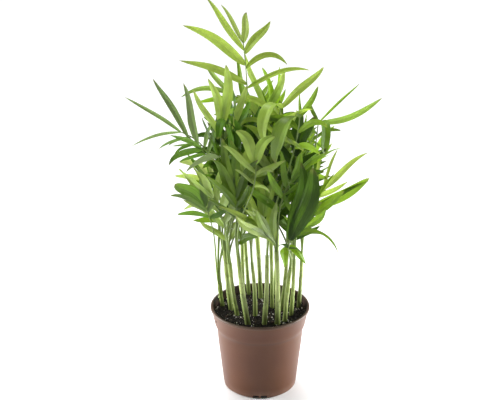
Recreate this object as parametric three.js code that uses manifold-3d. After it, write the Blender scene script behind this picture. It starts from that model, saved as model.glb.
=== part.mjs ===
// A parlour palm, sold as a clump of young seedlings in a plastic nursery pot.
// Millimetres, +Z up. The origin is the centre of the pot's flat underside.
// Headings are degrees about +Z from +X, and the front of the plant looks along -Y.
import * as THREE from 'three';
import { mergeVertices } from 'three/addons/utils/BufferGeometryUtils.js';
import Module from 'manifold-3d';

const wasm = await Module();
wasm.setup();

// ---------------------------------------------------------------- driving dimensions
const POT = {
  rimRadius: 61.2, // a 12 cm pot, 122 mm over its rolled rim
  height: 107.6,
  lip: 1.1, // how far the roll rounds its top edge
  lipDepth: 3.4,
  bandFootRadius: 56.2, // the tall band under the rim
  bandFoot: 84,
  bodyTopRadius: 53.4,
  bodyTop: 79.2,
  footRadius: 45.2,
  footRound: 3.2,
  wall: 1.5,
  floor: 2.6,
  sides: 48,
};
const DRAIN = { count: 4, width: 17, height: 4.6, inner: 38, web: 2.4 }; // notches in the bottom edge
const GAP = 0.3; // clearance between two pieces that touch
const SOIL_TOP = 98;
const SOIL_CROWN = 1.2; // the soil falls this far from the stems to the wall
const STEM = { sides: 8, flare: 1.1, flareHeight: 5, waist: 0.8, waistAt: 0.55, sheath: 8 };
const PETIOLE = { sides: 3, parts: 9, crowding: 1.4, base: 1.0, tip: 0.5, runIn: 0.34 };
const SHEATH = [1.2, 2.0, 2.4, 2.7]; // a stem's tip radius by how many fronds it carries
const LEAF = { steps: 12, stations: [0, 1, 4, 8, 12], thickness: 1.15, sunk: 1, clearance: 0.35 };
const STRAY = { angle: 14, length: 0.2, width: 0.24, lift: 14, droop: 0.6, twist: 50 }; // at most

// ---------------------------------------------------------------- the seedlings
// foot [x, y] in the soil, fork [x, y, z] where the fronds part, and the radius at the foot
const SEEDLINGS = [
  { foot: [-46, 13], fork: [-50, 11, 132], radius: 2.0 },
  { foot: [-36, 4], fork: [-43, 2, 182], radius: 2.4 },
  { foot: [-28, -11], fork: [-37, -14, 172], radius: 2.3 },
  { foot: [-15, -33], fork: [-27, -36, 196], radius: 3.2 },
  { foot: [-6, -11], fork: [-10, -8, 170], radius: 2.6 },
  { foot: [5, -33], fork: [8, -30, 190], radius: 2.6 },
  { foot: [21, -33], fork: [19, -38, 200], radius: 3.0 },
  { foot: [27, 4], fork: [33, 2, 182], radius: 2.6 },
  { foot: [38, -10], fork: [41, -16, 178], radius: 2.4 },
  { foot: [48, 11], fork: [51, 8, 172], radius: 2.4 },
  { foot: [1, 37], fork: [-4, 40, 190], radius: 2.6 },
  { foot: [15, 10], fork: [13, 12, 196], radius: 2.2 },
  { foot: [19, 45], fork: [22, 52, 180], radius: 2.4 },
  { foot: [-14, 46], fork: [-19, 54, 176], radius: 2.4 },
  { foot: [34, 36], fork: [42, 42, 178], radius: 2.3 },
  { foot: [-36, 32], fork: [-46, 38, 170], radius: 2.2 },
  { foot: [-20, 16], fork: [-22, 18, 186], radius: 2.2 },
  { foot: [30, -26], fork: [36, -36, 176], radius: 2.4 },
];

// ---------------------------------------------------------------- the fronds that shape the crown
// tip: end of the rib. toward, rise: where the rib points there. blade: length of rib with leaflets.
// gather: how much the pairs crowd towards the tip. leaf, wide: a leaflet's length and width.
// spread: its angle to the rib. droop: how far it bends down along its length. lift: how far it
// first stands up. face: heading that the blade's upper side turns to. stray: how far a leaflet may
// differ from what is named here. tone: 0 dark to 2 bright.
// One value holds for the whole frond, [left, right] for its two sides, and a list for a side
// names its leaflets one by one from the lowest pair up.
const PLAIN = { pairs: 4, gather: 1.25, spread: 40, droop: 25, lift: 10, stray: 1, tone: 1 };
const LEADING_FRONDS = [
  { stem: 4, tip: [-20, 10, 444], toward: 150, rise: 83, blade: 50, gather: 1.6, face: 280,
    leaf: [[92, 92, 79, 55], [80, 64, 50, 37]], wide: [[9.5, 12.5, 8, 5.5], [7, 7.5, 10.5, 9.5]],
    spread: [[56, 45, 29, 22], [64, 50, 38, 14]], droop: [[14, 8, 4, 4], [36, 150, 10, 4]],
    lift: 4, stray: 0.3, tone: 2 },
  { stem: 17, tip: [34, -84, 236], toward: 30, rise: 76, blade: 12, pairs: 2, face: 268,
    leaf: [[22, 94], [20, 92]], wide: [[8, 20], [6, 22]],
    spread: [[36, 0], [44, 12]], droop: [[120, 3], [110, 5]], lift: [[2, -4], [2, 4]],
    stray: 0.3, tone: 0 },
  { stem: 17, tip: [31, -66, 221], toward: 275, rise: 4, blade: 6, pairs: 1, face: 265,
    leaf: [[36], [44]], wide: [[11], [14]], spread: [[44], [6]], droop: [[200], [210]],
    lift: 2, stray: 0.3 },
  { stem: 3, tip: [-6, -76, 328], toward: 110, rise: 80, blade: 26, pairs: 3, face: 268,
    leaf: [[32, 52, 46], [22, 26, 42]], wide: [[4.4, 8, 14], [5, 6, 12.5]],
    spread: [[52, 44, 18], [50, 38, 20]], droop: [[20, 14, 26], [90, 80, 60]], stray: 0.3, tone: 2 },
  { stem: 11, tip: [23, -34, 380], toward: 40, rise: 76, blade: 34, pairs: 3, face: 244,
    leaf: [[52, 62, 76], [50, 58, 76]], wide: [[8, 10, 16.5], [7, 5, 10]],
    spread: [[60, 52, 4], [60, 46, 33]], droop: [[90, 120, 330], [60, 20, 3]],
    lift: [[8, 8, 58], [8, 6, 4]], stray: 0.3, tone: 2 },
  { stem: 5, tip: [44, -50, 375], toward: 70, rise: 80, blade: 34, pairs: 3, face: 238,
    leaf: [[44, 48, 80], [44, 50, 46]], wide: [[9, 10, 24], [8, 8.5, 8]],
    spread: [[44, 46, 6], [44, 40, 30]], droop: [[90, 120, 300], [90, 60, 20]],
    lift: [[10, 10, 60], [10, 10, 8]], stray: 0.3 },
  { stem: 9, tip: [67, -20, 357], toward: 60, rise: 80, blade: 14, pairs: 2, face: 288,
    leaf: [[24, 30], [30, 56]], wide: [[4, 5], [5, 14.5]],
    spread: [[50, 30], [50, 4]], droop: [[40, 30], [60, 340]],
    lift: [[10, 8], [10, 58]], stray: 0.3 },
  { stem: 6, tip: [3, -54, 234], toward: 180, rise: 60, blade: 30, pairs: 3, gather: 1, face: 276,
    leaf: [[66, 70, 64], [62, 66, 64]], wide: [[9, 11, 8], [11, 10.5, 10]],
    spread: [[8, 4, 14], [20, 12, -2]], droop: [[4, 4, 44], [4, 4, 4]],
    lift: [[-2, -4, 4], [-6, -6, -2]], stray: 0.3, tone: 2 },
  { stem: 4, tip: [-38, -44, 366], toward: 250, rise: 24, blade: 16, pairs: 2, face: 268,
    leaf: [[40, 46], [38, 42]], wide: [[10, 13], [9, 11]], spread: [[50, 30], [40, 12]],
    droop: 170, stray: 0.5, tone: 0 },
  { stem: 3, tip: [-30, -58, 286], toward: 200, rise: 78, blade: 40, face: 270,
    leaf: [[56, 76, 78, 80], [30, 56, 76, 74]], wide: [[8, 11, 12, 11], [7, 9, 11, 11]],
    spread: [[34, 24, 14, 4], [26, 14, 10, 12]], droop: [[30, 16, 10, 8], [60, 16, 8, 8]],
    stray: 0.5 },
  { stem: 5, tip: [41, -38, 322], toward: 60, rise: 82, blade: 30, pairs: 3, face: 270,
    leaf: [[52, 58, 56], [48, 52, 54]], wide: [[10, 11, 13], [9, 11, 14]],
    spread: [[50, 34, 6], [46, 30, 8]], droop: 16, stray: 0.5, tone: 0 },
  { stem: 16, tip: [-45, -20, 350], toward: 150, rise: 86, blade: 14, pairs: 2, face: 270,
    leaf: [[74, 66], [78, 80]], wide: [[8, 11], [10, 13]],
    spread: [[21, 6], [28, 13]], droop: 5, lift: 4, stray: 0.3, tone: 2 },
  { stem: 1, tip: [-85, -10, 335], toward: 180, rise: 38, blade: 30, pairs: 3, face: 270,
    leaf: [[34, 30, 40], [56, 76, 79]], wide: [[5, 4, 3.6], [7, 9.6, 8.4]],
    spread: [[56, 54, 50], [46, 31, 27]], droop: [[40, 20, 14], [6, 10, 3]], lift: 4, stray: 0.3, tone: 0 },
  { stem: 15, tip: [-94, 15, 331], toward: 182, rise: 22, blade: 32, pairs: 3, face: 270,
    leaf: [[42, 32, 66], [34, 38, 80]], wide: [[3.4, 3, 4], [6.5, 5, 5.4]],
    spread: [[36, 40, 20], [50, 44, 18]], droop: [[20, 30, 50], [10, 6, 26]], lift: 2, stray: 0.3,
    tone: 0 },
  { stem: 2, tip: [-68, -36, 330], toward: 190, rise: 12, blade: 24, pairs: 2, face: 270,
    leaf: [[46, 46], [44, 44]], wide: [[8, 8], [9, 7]], spread: [[32, 12], [60, 30]],
    droop: [[80, 66], [40, 50]], stray: 0.5, tone: 0 },
  { stem: 0, tip: [-65, -25, 252], toward: 150, rise: 66, blade: 14, pairs: 3, face: 268,
    leaf: [[42, 52, 48], [28, 42, 52]], wide: [[7, 6.6, 17], [8, 9, 11]],
    spread: [[46, 30, 20], [70, 40, 10]], droop: [[30, 52, 6], [20, 10, 10]], stray: 0.3, tone: 0 },
  { stem: 9, tip: [68, 0, 349], toward: 0, rise: 32, blade: 24, pairs: 2, face: 270,
    leaf: [[52, 66], [34, 86]], wide: [[5, 3.4], [3.8, 8.6]],
    spread: [[44, 13], [60, 26]], droop: [[20, 0], [90, -48]], lift: 3, stray: 0.3, tone: 1 },
  { stem: 14, tip: [73, -24, 273], toward: 0, rise: 50, blade: 28, pairs: 3, face: 268,
    leaf: [[52, 58, 52], [36, 62, 74]], wide: [[6, 5.6, 4.4], [3.8, 6.6, 8]],
    spread: [[60, 46, 24], [62, 14, 6]], droop: [[10, 8, 6], [30, 10, 4]], lift: 4, stray: 0.3,
    tone: 2 },
  { stem: 8, tip: [58, -46, 258], toward: 0, rise: 52, blade: 46, face: 268,
    leaf: [[36, 50, 52, 52], [74, 72, 80, 84]], wide: [[7, 9, 6.5, 4.2], [13, 13, 11, 6]],
    spread: [[50, 40, 30, 8], [36, 12, 19, 22]], droop: [[30, 10, 8, 6], [118, 12, 8, 4]],
    lift: 4, stray: 0.3 },
  { stem: 7, tip: [7, 15, 357], toward: 90, rise: 86, blade: 16, pairs: 2, face: 270,
    leaf: [[54, 78], [50, 58]], wide: [[9.5, 7.6], [4, 10]],
    spread: [[30, 19], [36, 24]], droop: 5, lift: 4, stray: 0.3, tone: 2 },
  { stem: 10, tip: [-35, 30, 374], toward: 176, rise: 24, blade: 36, pairs: 3, face: 270,
    leaf: [[54, 60, 68], [50, 56, 50]], wide: 7,
    spread: [[44, 30, 4], [44, 32, 24]], droop: [[30, 30, 60], [8, 8, 8]], stray: 0.4 },
  { stem: 15, tip: [-58, 40, 262], toward: 170, rise: 60, blade: 40, leaf: 60, wide: 9.6,
    pairs: 3, face: 270, droop: 26, tone: 2 },
];

// ---------------------------------------------------------------- the fronds that fill the crown
const FILL = {
  count: 18,
  goldenAngle: 137.508,
  inner: 10, // from the crown's axis to its rim
  outer: 72,
  top: 368,
  fall: 0.9, // a frond further out ends lower
  layers: 48,
  rise: 84,
  lean: 0.5, // and lies flatter
  crowding: 60, // a frond avoids the seedlings that carry one already
};

// ---------------------------------------------------------------- small helpers
const UP = new THREE.Vector3(0, 0, 1);
const rad = THREE.MathUtils.degToRad;
const point = (list) => new THREE.Vector3(...list);

// What a frond names for one leaflet; a share follows the leaflet's place where it isn't named alone.
function forLeaflet(value, side, pair, share = 1) {
  const own = Array.isArray(value) ? value[side < 0 ? 0 : 1] : value;
  return Array.isArray(own) ? own[pair] : own * share;
}

function heading(azimuth, rise) {
  const level = Math.cos(rad(rise));
  return new THREE.Vector3(
    Math.cos(rad(azimuth)) * level, Math.sin(rad(azimuth)) * level, Math.sin(rad(rise)));
}

// The same seed always gives the same numbers from 0 to 1.
function dice(seed) {
  let state = (Math.imul(seed, 2654435761) + 40503) >>> 0;
  const roll = () => {
    state = (Math.imul(state, 1664525) + 1013904223) >>> 0;
    return state / 2 ** 32;
  };
  roll();
  roll();
  return roll;
}

function toSolid(geometry) {
  const bare = geometry.clone();
  for (const name of Object.keys(bare.attributes)) {
    if (name !== 'position') bare.deleteAttribute(name);
  }
  const merged = mergeVertices(bare, 1e-4);
  const corners = merged.index.array;
  const faces = [];
  for (let i = 0; i < corners.length; i += 3) {
    const [a, b, c] = [corners[i], corners[i + 1], corners[i + 2]];
    if (a !== b && b !== c && c !== a) faces.push(a, b, c);
  }
  return new wasm.Manifold(new wasm.Mesh({
    numProp: 3,
    vertProperties: Float32Array.from(merged.attributes.position.array),
    triVerts: Uint32Array.from(faces),
  }));
}

function toGeometry(solid) {
  const mesh = solid.getMesh();
  const geometry = new THREE.BufferGeometry();
  geometry.setAttribute('position', new THREE.BufferAttribute(mesh.vertProperties, 3));
  geometry.setIndex(new THREE.BufferAttribute(mesh.triVerts, 1));
  const faceted = geometry.toNonIndexed();
  faceted.computeVertexNormals();
  return faceted;
}

// A closed skin over a row of rings; any ring may be a single point.
function skin(rings) {
  const positions = rings.flat().flatMap((p) => [p.x, p.y, p.z]);
  const index = [];
  let low = 0;
  for (let r = 0; r < rings.length - 1; r++) {
    const from = rings[r].length;
    const to = rings[r + 1].length;
    const high = low + from;
    const sides = Math.max(from, to);
    for (let i = 0; i < sides; i++) {
      const j = (i + 1) % sides;
      if (from > 1) index.push(low + i, low + j, to > 1 ? high + j : high);
      if (to > 1) index.push(from > 1 ? low + i : low, high + j, high + i);
    }
    low = high;
  }
  for (let i = 1; i < rings[0].length - 1; i++) index.push(0, i + 1, i);
  for (let i = 1; i < rings.at(-1).length - 1; i++) index.push(low, low + i, low + i + 1);
  const geometry = new THREE.BufferGeometry();
  geometry.setAttribute('position', new THREE.Float32BufferAttribute(positions, 3));
  geometry.setIndex(index);
  return geometry;
}

// ---------------------------------------------------------------- pot and soil
function lathe(profile) {
  const points = profile.map(([radius, z]) => new THREE.Vector2(radius, z));
  return new THREE.LatheGeometry(points, POT.sides).rotateX(Math.PI / 2);
}

function potGeometry() {
  const { rimRadius, height, lip, lipDepth, wall, floor, footRadius, footRound } = POT;
  const rimFoot = height - lipDepth;
  const profile = [
    [0, 0],
    [footRadius - footRound, 0],
    [footRadius, footRound],
    [POT.bodyTopRadius, POT.bodyTop],
    [POT.bandFootRadius, POT.bodyTop + 2.5],
    [POT.bandFootRadius, POT.bandFoot],
    [rimRadius - 1.3, rimFoot],
    [rimRadius, rimFoot + 1],
    [rimRadius, height - lip],
    [rimRadius - lip, height],
    [rimRadius - 2 * lip, height],
    [rimRadius - 1.3 - wall, height - lip],
    [POT.bandFootRadius - wall, POT.bandFoot],
    [POT.bodyTopRadius - wall, POT.bodyTop + 1],
    [footRadius - wall, floor + 1],
    [footRadius - wall - 1, floor],
    [0, floor],
  ];
  let pot = toSolid(lathe(profile));
  const reach = footRadius + 5 - DRAIN.inner;
  for (let i = 0; i < DRAIN.count; i++) {
    const angle = -Math.PI / 2 + (2 * Math.PI * i) / DRAIN.count;
    const half = (DRAIN.width - DRAIN.web) / 2;
    for (const side of [-1, 1]) {
      const notch = new THREE.BoxGeometry(reach, half, 2 * DRAIN.height)
        .translate(DRAIN.inner + reach / 2, (side * (half + DRAIN.web)) / 2, 0)
        .rotateZ(angle);
      pot = pot.subtract(toSolid(notch));
    }
  }
  return toGeometry(pot);
}

function soilGeometry() {
  const inner = POT.wall + GAP;
  const bandSlope = (POT.rimRadius - 1.3 - POT.bandFootRadius) / (POT.height - POT.lipDepth - POT.bandFoot);
  const edge = SOIL_TOP - SOIL_CROWN;
  const edgeRadius = POT.bandFootRadius + bandSlope * (edge - POT.bandFoot) - inner;
  return lathe([
    [0, POT.floor + GAP],
    [POT.footRadius - inner - 1.4, POT.floor + GAP],
    [POT.footRadius - inner, POT.floor + 1 + GAP],
    [POT.bodyTopRadius - inner, POT.bodyTop + 1 + GAP],
    [POT.bandFootRadius - inner, POT.bandFoot + GAP],
    [edgeRadius, edge],
    [POT.bodyTopRadius - 1, SOIL_TOP],
    [0, SOIL_TOP],
  ]);
}

// ---------------------------------------------------------------- stems
function stemRing(centre, radius) {
  return Array.from({ length: STEM.sides }, (_, i) => {
    const angle = (2 * Math.PI * i) / STEM.sides;
    return new THREE.Vector3(Math.cos(angle) * radius, Math.sin(angle) * radius, 0).add(centre);
  });
}

function stemGeometry(seedling) {
  const foot = new THREE.Vector3(seedling.foot[0], seedling.foot[1], SOIL_TOP + GAP);
  const fork = point(seedling.fork);
  const height = fork.z - foot.z;
  const tip = SHEATH[Math.max(0, seedling.carries - 1)];
  const levels = [
    [0, seedling.radius * STEM.flare],
    [STEM.flareHeight / height, seedling.radius],
    [STEM.waistAt, Math.max(seedling.radius * STEM.waist, tip * 0.85)],
    [1 - STEM.sheath / height, tip],
    [1, tip],
  ];
  return skin(levels.map(([t, radius]) => stemRing(foot.clone().lerp(fork, t), radius)));
}

// ---------------------------------------------------------------- ribs
// A frond's stalk leaves the seedling's tip along the seedling and bends over to the rib's heading.
function ribCurve(frond, bow, aside) {
  const seedling = SEEDLINGS[frond.stem];
  const start = point(seedling.fork).add(frond.seat);
  const foot = new THREE.Vector3(seedling.foot[0], seedling.foot[1], SOIL_TOP);
  const along = point(seedling.fork).sub(foot).normalize();
  const tip = point(frond.tip).add(aside);
  const reach = tip.distanceTo(start);
  const into = heading(frond.toward, frond.rise);
  return new THREE.CubicBezierCurve3(
    start,
    start.clone().addScaledVector(along, reach * bow),
    tip.clone().addScaledVector(into, -reach * PETIOLE.runIn),
    tip);
}

function ribGeometry(frond, curve, grow) {
  const across = heading(frond.toward + 90, 0);
  const rings = [];
  for (let i = 0; i <= PETIOLE.parts; i++) {
    const t = 1 - (1 - i / PETIOLE.parts) ** PETIOLE.crowding; // rings crowd towards the bent end
    const centre = curve.getPoint(t);
    const tangent = curve.getTangent(t);
    const right = new THREE.Vector3().crossVectors(tangent, across).normalize();
    const left = new THREE.Vector3().crossVectors(tangent, right);
    const radius = THREE.MathUtils.lerp(PETIOLE.base, PETIOLE.tip, t) + grow;
    const ring = [];
    for (let k = 0; k < PETIOLE.sides; k++) {
      const angle = (2 * Math.PI * k) / PETIOLE.sides;
      const corner = centre.clone()
        .addScaledVector(right, Math.cos(angle) * radius)
        .addScaledVector(left, Math.sin(angle) * radius);
      if (i === 0) corner.z = centre.z;
      ring.push(corner);
    }
    rings.push(ring);
  }
  return skin(rings);
}

// ---------------------------------------------------------------- leaflets
// Width along a leaflet, as a share of its widest: narrow at the root, pointed at the tip.
const leafOutline = (u) => 2.43 * (u + 0.018) ** 0.55 * (1 - u) ** 0.8;
// Leaflets are longest just below the middle of the blade.
const leafLength = (q) => 0.8 + 0.8 * q - 0.85 * q * q;

// The midrib as points with the blade's normal and heading at each step.
function midrib(base, tangent, normal, leaf) {
  const outward = new THREE.Vector3().crossVectors(tangent, normal).multiplyScalar(leaf.side);
  const d = tangent.clone().multiplyScalar(Math.cos(leaf.angle))
    .addScaledVector(outward, Math.sin(leaf.angle)).normalize();
  const n = normal.clone().addScaledVector(d, -normal.dot(d)).normalize();
  const hinge = new THREE.Vector3().crossVectors(d, n).normalize();
  d.applyAxisAngle(hinge, leaf.lift);
  n.applyAxisAngle(hinge, leaf.lift);
  const at = base.clone();
  const rib = [{ at: at.clone(), d: d.clone(), n: n.clone() }];
  for (let i = 0; i < LEAF.steps; i++) {
    at.addScaledVector(d, leaf.length / LEAF.steps);
    const sag = new THREE.Vector3(-d.y, d.x, 0); // d cross straight down
    const level = sag.length();
    if (level > 1e-6) {
      sag.divideScalar(level);
      const bend = (leaf.droop / LEAF.steps) * level * (0.4 + (1.2 * (i + 1)) / LEAF.steps);
      d.applyAxisAngle(sag, bend);
      n.applyAxisAngle(sag, bend);
    }
    n.applyAxisAngle(d, leaf.twist / LEAF.steps);
    rib.push({ at: at.clone(), d: d.clone(), n: n.clone() });
  }
  return rib;
}

// A leaflet's solid: flat on top, keeled below, each cross-section a triangle, pointed at both ends.
function leafGeometry(rib, leaf, grow) {
  const rings = LEAF.stations.map((step) => {
    const { at, d, n } = rib[step];
    const u = step / LEAF.steps;
    const centre = at.clone().addScaledVector(d, u === 0 ? -LEAF.sunk - grow : u === 1 ? grow : 0);
    if (u === 0 || u === 1) return [centre];
    const half = (leafOutline(u) * leaf.width) / 2 + grow;
    const depth = LEAF.thickness * (1 - 0.4 * u);
    const right = new THREE.Vector3().crossVectors(d, n);
    return [
      centre.clone().addScaledVector(right, -half).addScaledVector(n, depth * 0.45 + grow),
      centre.clone().addScaledVector(right, half).addScaledVector(n, depth * 0.45 + grow),
      centre.clone().addScaledVector(n, -depth * 0.55 - grow * 1.6),
    ];
  });
  return skin(rings);
}

// ---------------------------------------------------------------- growing the crown
function fillingFronds() {
  const carried = SEEDLINGS.map((_, k) => LEADING_FRONDS.filter((f) => f.stem === k).length);
  return Array.from({ length: FILL.count }, (_, i) => {
    const roll = dice(1000 + i);
    const azimuth = 40 + FILL.goldenAngle * i;
    const share = (i + 0.5) / FILL.count;
    const out = FILL.inner + (FILL.outer - FILL.inner) * Math.sqrt(share);
    const drop = (FILL.layers * (i % 3) * share) / 2;
    const tip = [
      out * Math.cos(rad(azimuth)),
      out * Math.sin(rad(azimuth)) * 0.95 + 6,
      FILL.top - FILL.fall * out - drop + (roll() - 0.5) * 24,
    ];
    const cost = SEEDLINGS.map(({ fork }, k) =>
      carried[k] * FILL.crowding + Math.hypot(fork[0] - tip[0] * 0.6, fork[1] - tip[1] * 0.6));
    const stem = cost.indexOf(Math.min(...cost));
    carried[stem] += 1;
    return {
      stem,
      tip,
      toward: azimuth + (roll() - 0.5) * 50,
      rise: FILL.rise - FILL.lean * out + (roll() - 0.5) * 16,
      blade: 44,
      leaf: 68 + (roll() - 0.5) * 16,
      wide: 9.6 + (roll() - 0.5) * 2.4,
      pairs: 3 + (i % 2),
      face: azimuth + 180 + (roll() - 0.5) * 60,
      spread: 36 + (roll() - 0.5) * 16,
      droop: 26 + (roll() - 0.5) * 24,
      tone: [1, 0, 2, 1, 0][i % 5],
    };
  });
}

// Each frond's seat on its seedling's tip: the fronds of one seedling stand round the tip,
// each on the side where it ends, so that their stalks don't cross.
function seatFronds(fronds) {
  SEEDLINGS.forEach((seedling, k) => {
    const own = fronds.filter((frond) => frond.stem === k);
    seedling.carries = own.length;
    const middle = [0, 1].map((axis) => own.reduce((sum, f) => sum + f.tip[axis], 0) / own.length);
    const lean = (frond) => Math.atan2(frond.tip[1] - middle[1], frond.tip[0] - middle[0]);
    own.sort((a, b) => lean(a) - lean(b));
    own.forEach((frond, i) => {
      const angle = lean(own[0]) + (2 * Math.PI * i) / own.length;
      const out = own.length === 1 ? 0 : (PETIOLE.base + GAP) / Math.sin(Math.PI / own.length);
      frond.seat = new THREE.Vector3(Math.cos(angle) * out, Math.sin(angle) * out, GAP);
    });
  });
}

// What already stands in the crown, with who owns it, so that nothing grows through another piece.
const standing = [];

function stand(owner, solid) {
  standing.push({ owner, solid, box: solid.boundingBox() });
}

const apart = (a, b) => [0, 1, 2].some((k) => a.max[k] < b.min[k] || b.max[k] < a.min[k]);

function isFree(owner, geometry) {
  const solid = toSolid(geometry);
  const box = solid.boundingBox();
  return standing.every((other) => {
    if (other.owner === owner || apart(box, other.box)) return true;
    const shared = solid.intersect(other.solid);
    const free = shared.isEmpty();
    shared.delete();
    return free;
  });
}

// A stalk that would meet another one bows more or less, then swings its tip a little aside.
const BOWS = [0.42, 0.34, 0.5, 0.26, 0.58];
const SWINGS = [0, 60, 180, 300];
const SWING_REACH = 7;

function growRib(frond) {
  for (const swing of SWINGS) {
    for (const bow of BOWS) {
      const aside = heading(swing, 0).multiplyScalar(swing ? SWING_REACH : 0);
      const curve = ribCurve(frond, bow, aside);
      if (!isFree(frond, ribGeometry(frond, curve, LEAF.clearance))) continue;
      frond.curve = curve;
      frond.solid = toSolid(ribGeometry(frond, curve, 0));
      stand(frond, frond.solid);
      return true;
    }
  }
  return false;
}

// A leaflet that would meet its neighbours first turns aside, then stays shorter, or doesn't grow.
const TURNS = [0, 9, -9, 18, -18];
const LIFTS = [0, 12, -12];
const SIZES = [1, 0.75, 0.55];

function growLeaf(frond, base, tangent, normal, wish) {
  for (const size of SIZES) {
    for (const lift of LIFTS) {
      for (const turn of TURNS) {
        const leaf = {
          ...wish,
          angle: wish.angle + rad(turn),
          lift: wish.lift + rad(lift),
          length: wish.length * size,
          width: wish.width * (0.4 + 0.6 * size),
        };
        const rib = midrib(base, tangent, normal, leaf);
        if (!isFree(frond, leafGeometry(rib, leaf, LEAF.clearance))) continue;
        const solid = toSolid(leafGeometry(rib, leaf, 0));
        stand(frond, solid);
        frond.solid = frond.solid.add(solid);
        return;
      }
    }
  }
}

function growLeaves(frond) {
  const roll = dice(frond.index + 1);
  const length = frond.curve.getLength();
  const start = 1 - frond.blade / length;
  const facing = heading(frond.face, 0).multiplyScalar(0.8).addScaledVector(UP, 0.6);
  for (let j = 0; j < frond.pairs; j++) {
    const q = frond.pairs > 1 ? j / (frond.pairs - 1) : 1;
    for (const side of [1, -1]) {
      const stagger = side > 0 && j < frond.pairs - 1 ? (0.35 * (1 - start)) / frond.pairs : 0;
      const s = start + (1 - start) * (1 - (1 - q) ** frond.gather) - stagger;
      const base = frond.curve.getPointAt(s);
      const tangent = frond.curve.getTangentAt(s);
      const normal = facing.clone().addScaledVector(tangent, -facing.dot(tangent)).normalize();
      const named = (value, share) => forLeaflet(value, side, j, share);
      const stray = (spread) => (roll() - 0.5) * spread * frond.stray;
      growLeaf(frond, base, tangent, normal, {
        side,
        angle: rad(named(frond.spread, 1.25 - 0.75 * q) + stray(STRAY.angle)),
        length: named(frond.leaf, leafLength(q)) * (1 + stray(STRAY.length)),
        width: named(frond.wide) * (1 + stray(STRAY.width)),
        lift: rad(named(frond.lift) + stray(STRAY.lift)),
        droop: rad(named(frond.droop) * (1 + stray(STRAY.droop))),
        twist: rad(stray(STRAY.twist)),
      });
    }
  }
}

// A frond is one body: the largest piece, with no closed hollow in it.
function oneBody(solid) {
  const pieces = solid.simplify(0.03).decompose();
  pieces.sort((a, b) => b.volume() - a.volume());
  return pieces[0];
}

// ---------------------------------------------------------------- the plant
const finish = (color, roughness) => new THREE.MeshStandardMaterial({ color, roughness, metalness: 0 });
const TONES = ['#4a7326', '#6c9a33', '#93bd45'];

function place(group, name, geometry, material) {
  const mesh = new THREE.Mesh(geometry, material);
  mesh.name = name;
  group.add(mesh);
}

const number = (i) => String(i + 1).padStart(2, '0');

function parlourPalm() {
  const palm = new THREE.Group();
  place(palm, 'pot', potGeometry(), finish('#8d6553', 0.55));
  place(palm, 'soil', soilGeometry(), finish('#2a1f19', 0.95));

  const fronds = [...LEADING_FRONDS, ...fillingFronds()]
    .map((frond, index) => ({ ...PLAIN, ...frond, index }));
  seatFronds(fronds);

  SEEDLINGS.forEach((seedling, k) => {
    const geometry = stemGeometry(seedling);
    stand(seedling, toSolid(geometry));
    place(palm, `stem_${number(k)}`, geometry, finish('#9fb86c', 0.5));
  });

  const grown = fronds.filter(growRib);
  grown.forEach(growLeaves);
  for (const frond of grown) {
    const geometry = toGeometry(oneBody(frond.solid));
    place(palm, `frond_${number(frond.index)}`, geometry, finish(TONES[frond.tone], 0.45));
  }
  return palm;
}

export default parlourPalm();
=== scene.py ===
# A parlour palm: a clump of young seedlings in a plastic nursery pot filled with peat.
# The frame gives each piece its place. Sizes are millimetres, and MM turns them into the frame's metres.
# The seedlings and fronds follow the growth rule of the solids, and each leaflet grows where the
# frame's frond has it, finer: folded, veined and waved. Younger fronds, which the frame doesn't hold,
# fill the inside of the crown.
import functools
import itertools
import math

import bmesh
import bpy
import numpy as np
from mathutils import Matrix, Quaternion, Vector
from mathutils.kdtree import KDTree


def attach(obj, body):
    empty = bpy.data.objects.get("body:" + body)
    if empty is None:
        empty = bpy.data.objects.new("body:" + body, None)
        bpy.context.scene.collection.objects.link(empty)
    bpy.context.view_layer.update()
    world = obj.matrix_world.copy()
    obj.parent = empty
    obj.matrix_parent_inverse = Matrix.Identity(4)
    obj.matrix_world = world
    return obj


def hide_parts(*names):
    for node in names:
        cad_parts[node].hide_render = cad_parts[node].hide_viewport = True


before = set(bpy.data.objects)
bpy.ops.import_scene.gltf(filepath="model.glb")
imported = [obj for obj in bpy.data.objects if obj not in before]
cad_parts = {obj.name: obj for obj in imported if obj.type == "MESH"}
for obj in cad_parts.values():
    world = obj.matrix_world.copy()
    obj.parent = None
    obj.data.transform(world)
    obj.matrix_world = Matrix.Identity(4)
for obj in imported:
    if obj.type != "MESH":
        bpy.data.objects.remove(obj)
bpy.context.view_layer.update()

MM = 0.001
UP = Vector((0, 0, 1))

# ---------------------------------------------------------------- sizes of the pot and the soil
POT = {
    "rim": 61.2,
    "height": 107.6,
    "lip": 1.1,
    "lip_depth": 3.4,
    "band_foot_radius": 56.2,
    "band_foot": 84,
    "body_top_radius": 53.4,
    "body_top": 79.2,
    "foot": 45.2,
    "foot_round": 3.2,
    "wall": 1.5,
    "floor": 2.6,
    "sides": 160,
}
DRAIN = {"count": 4, "width": 17.0, "height": 4.6, "inner": 38.0, "web": 2.4}
SOIL = {"top": 98.0, "crown": 1.2, "dip": 7, "clear": 0.3, "relief": 1.5, "rings": 44, "sides": 120}

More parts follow.
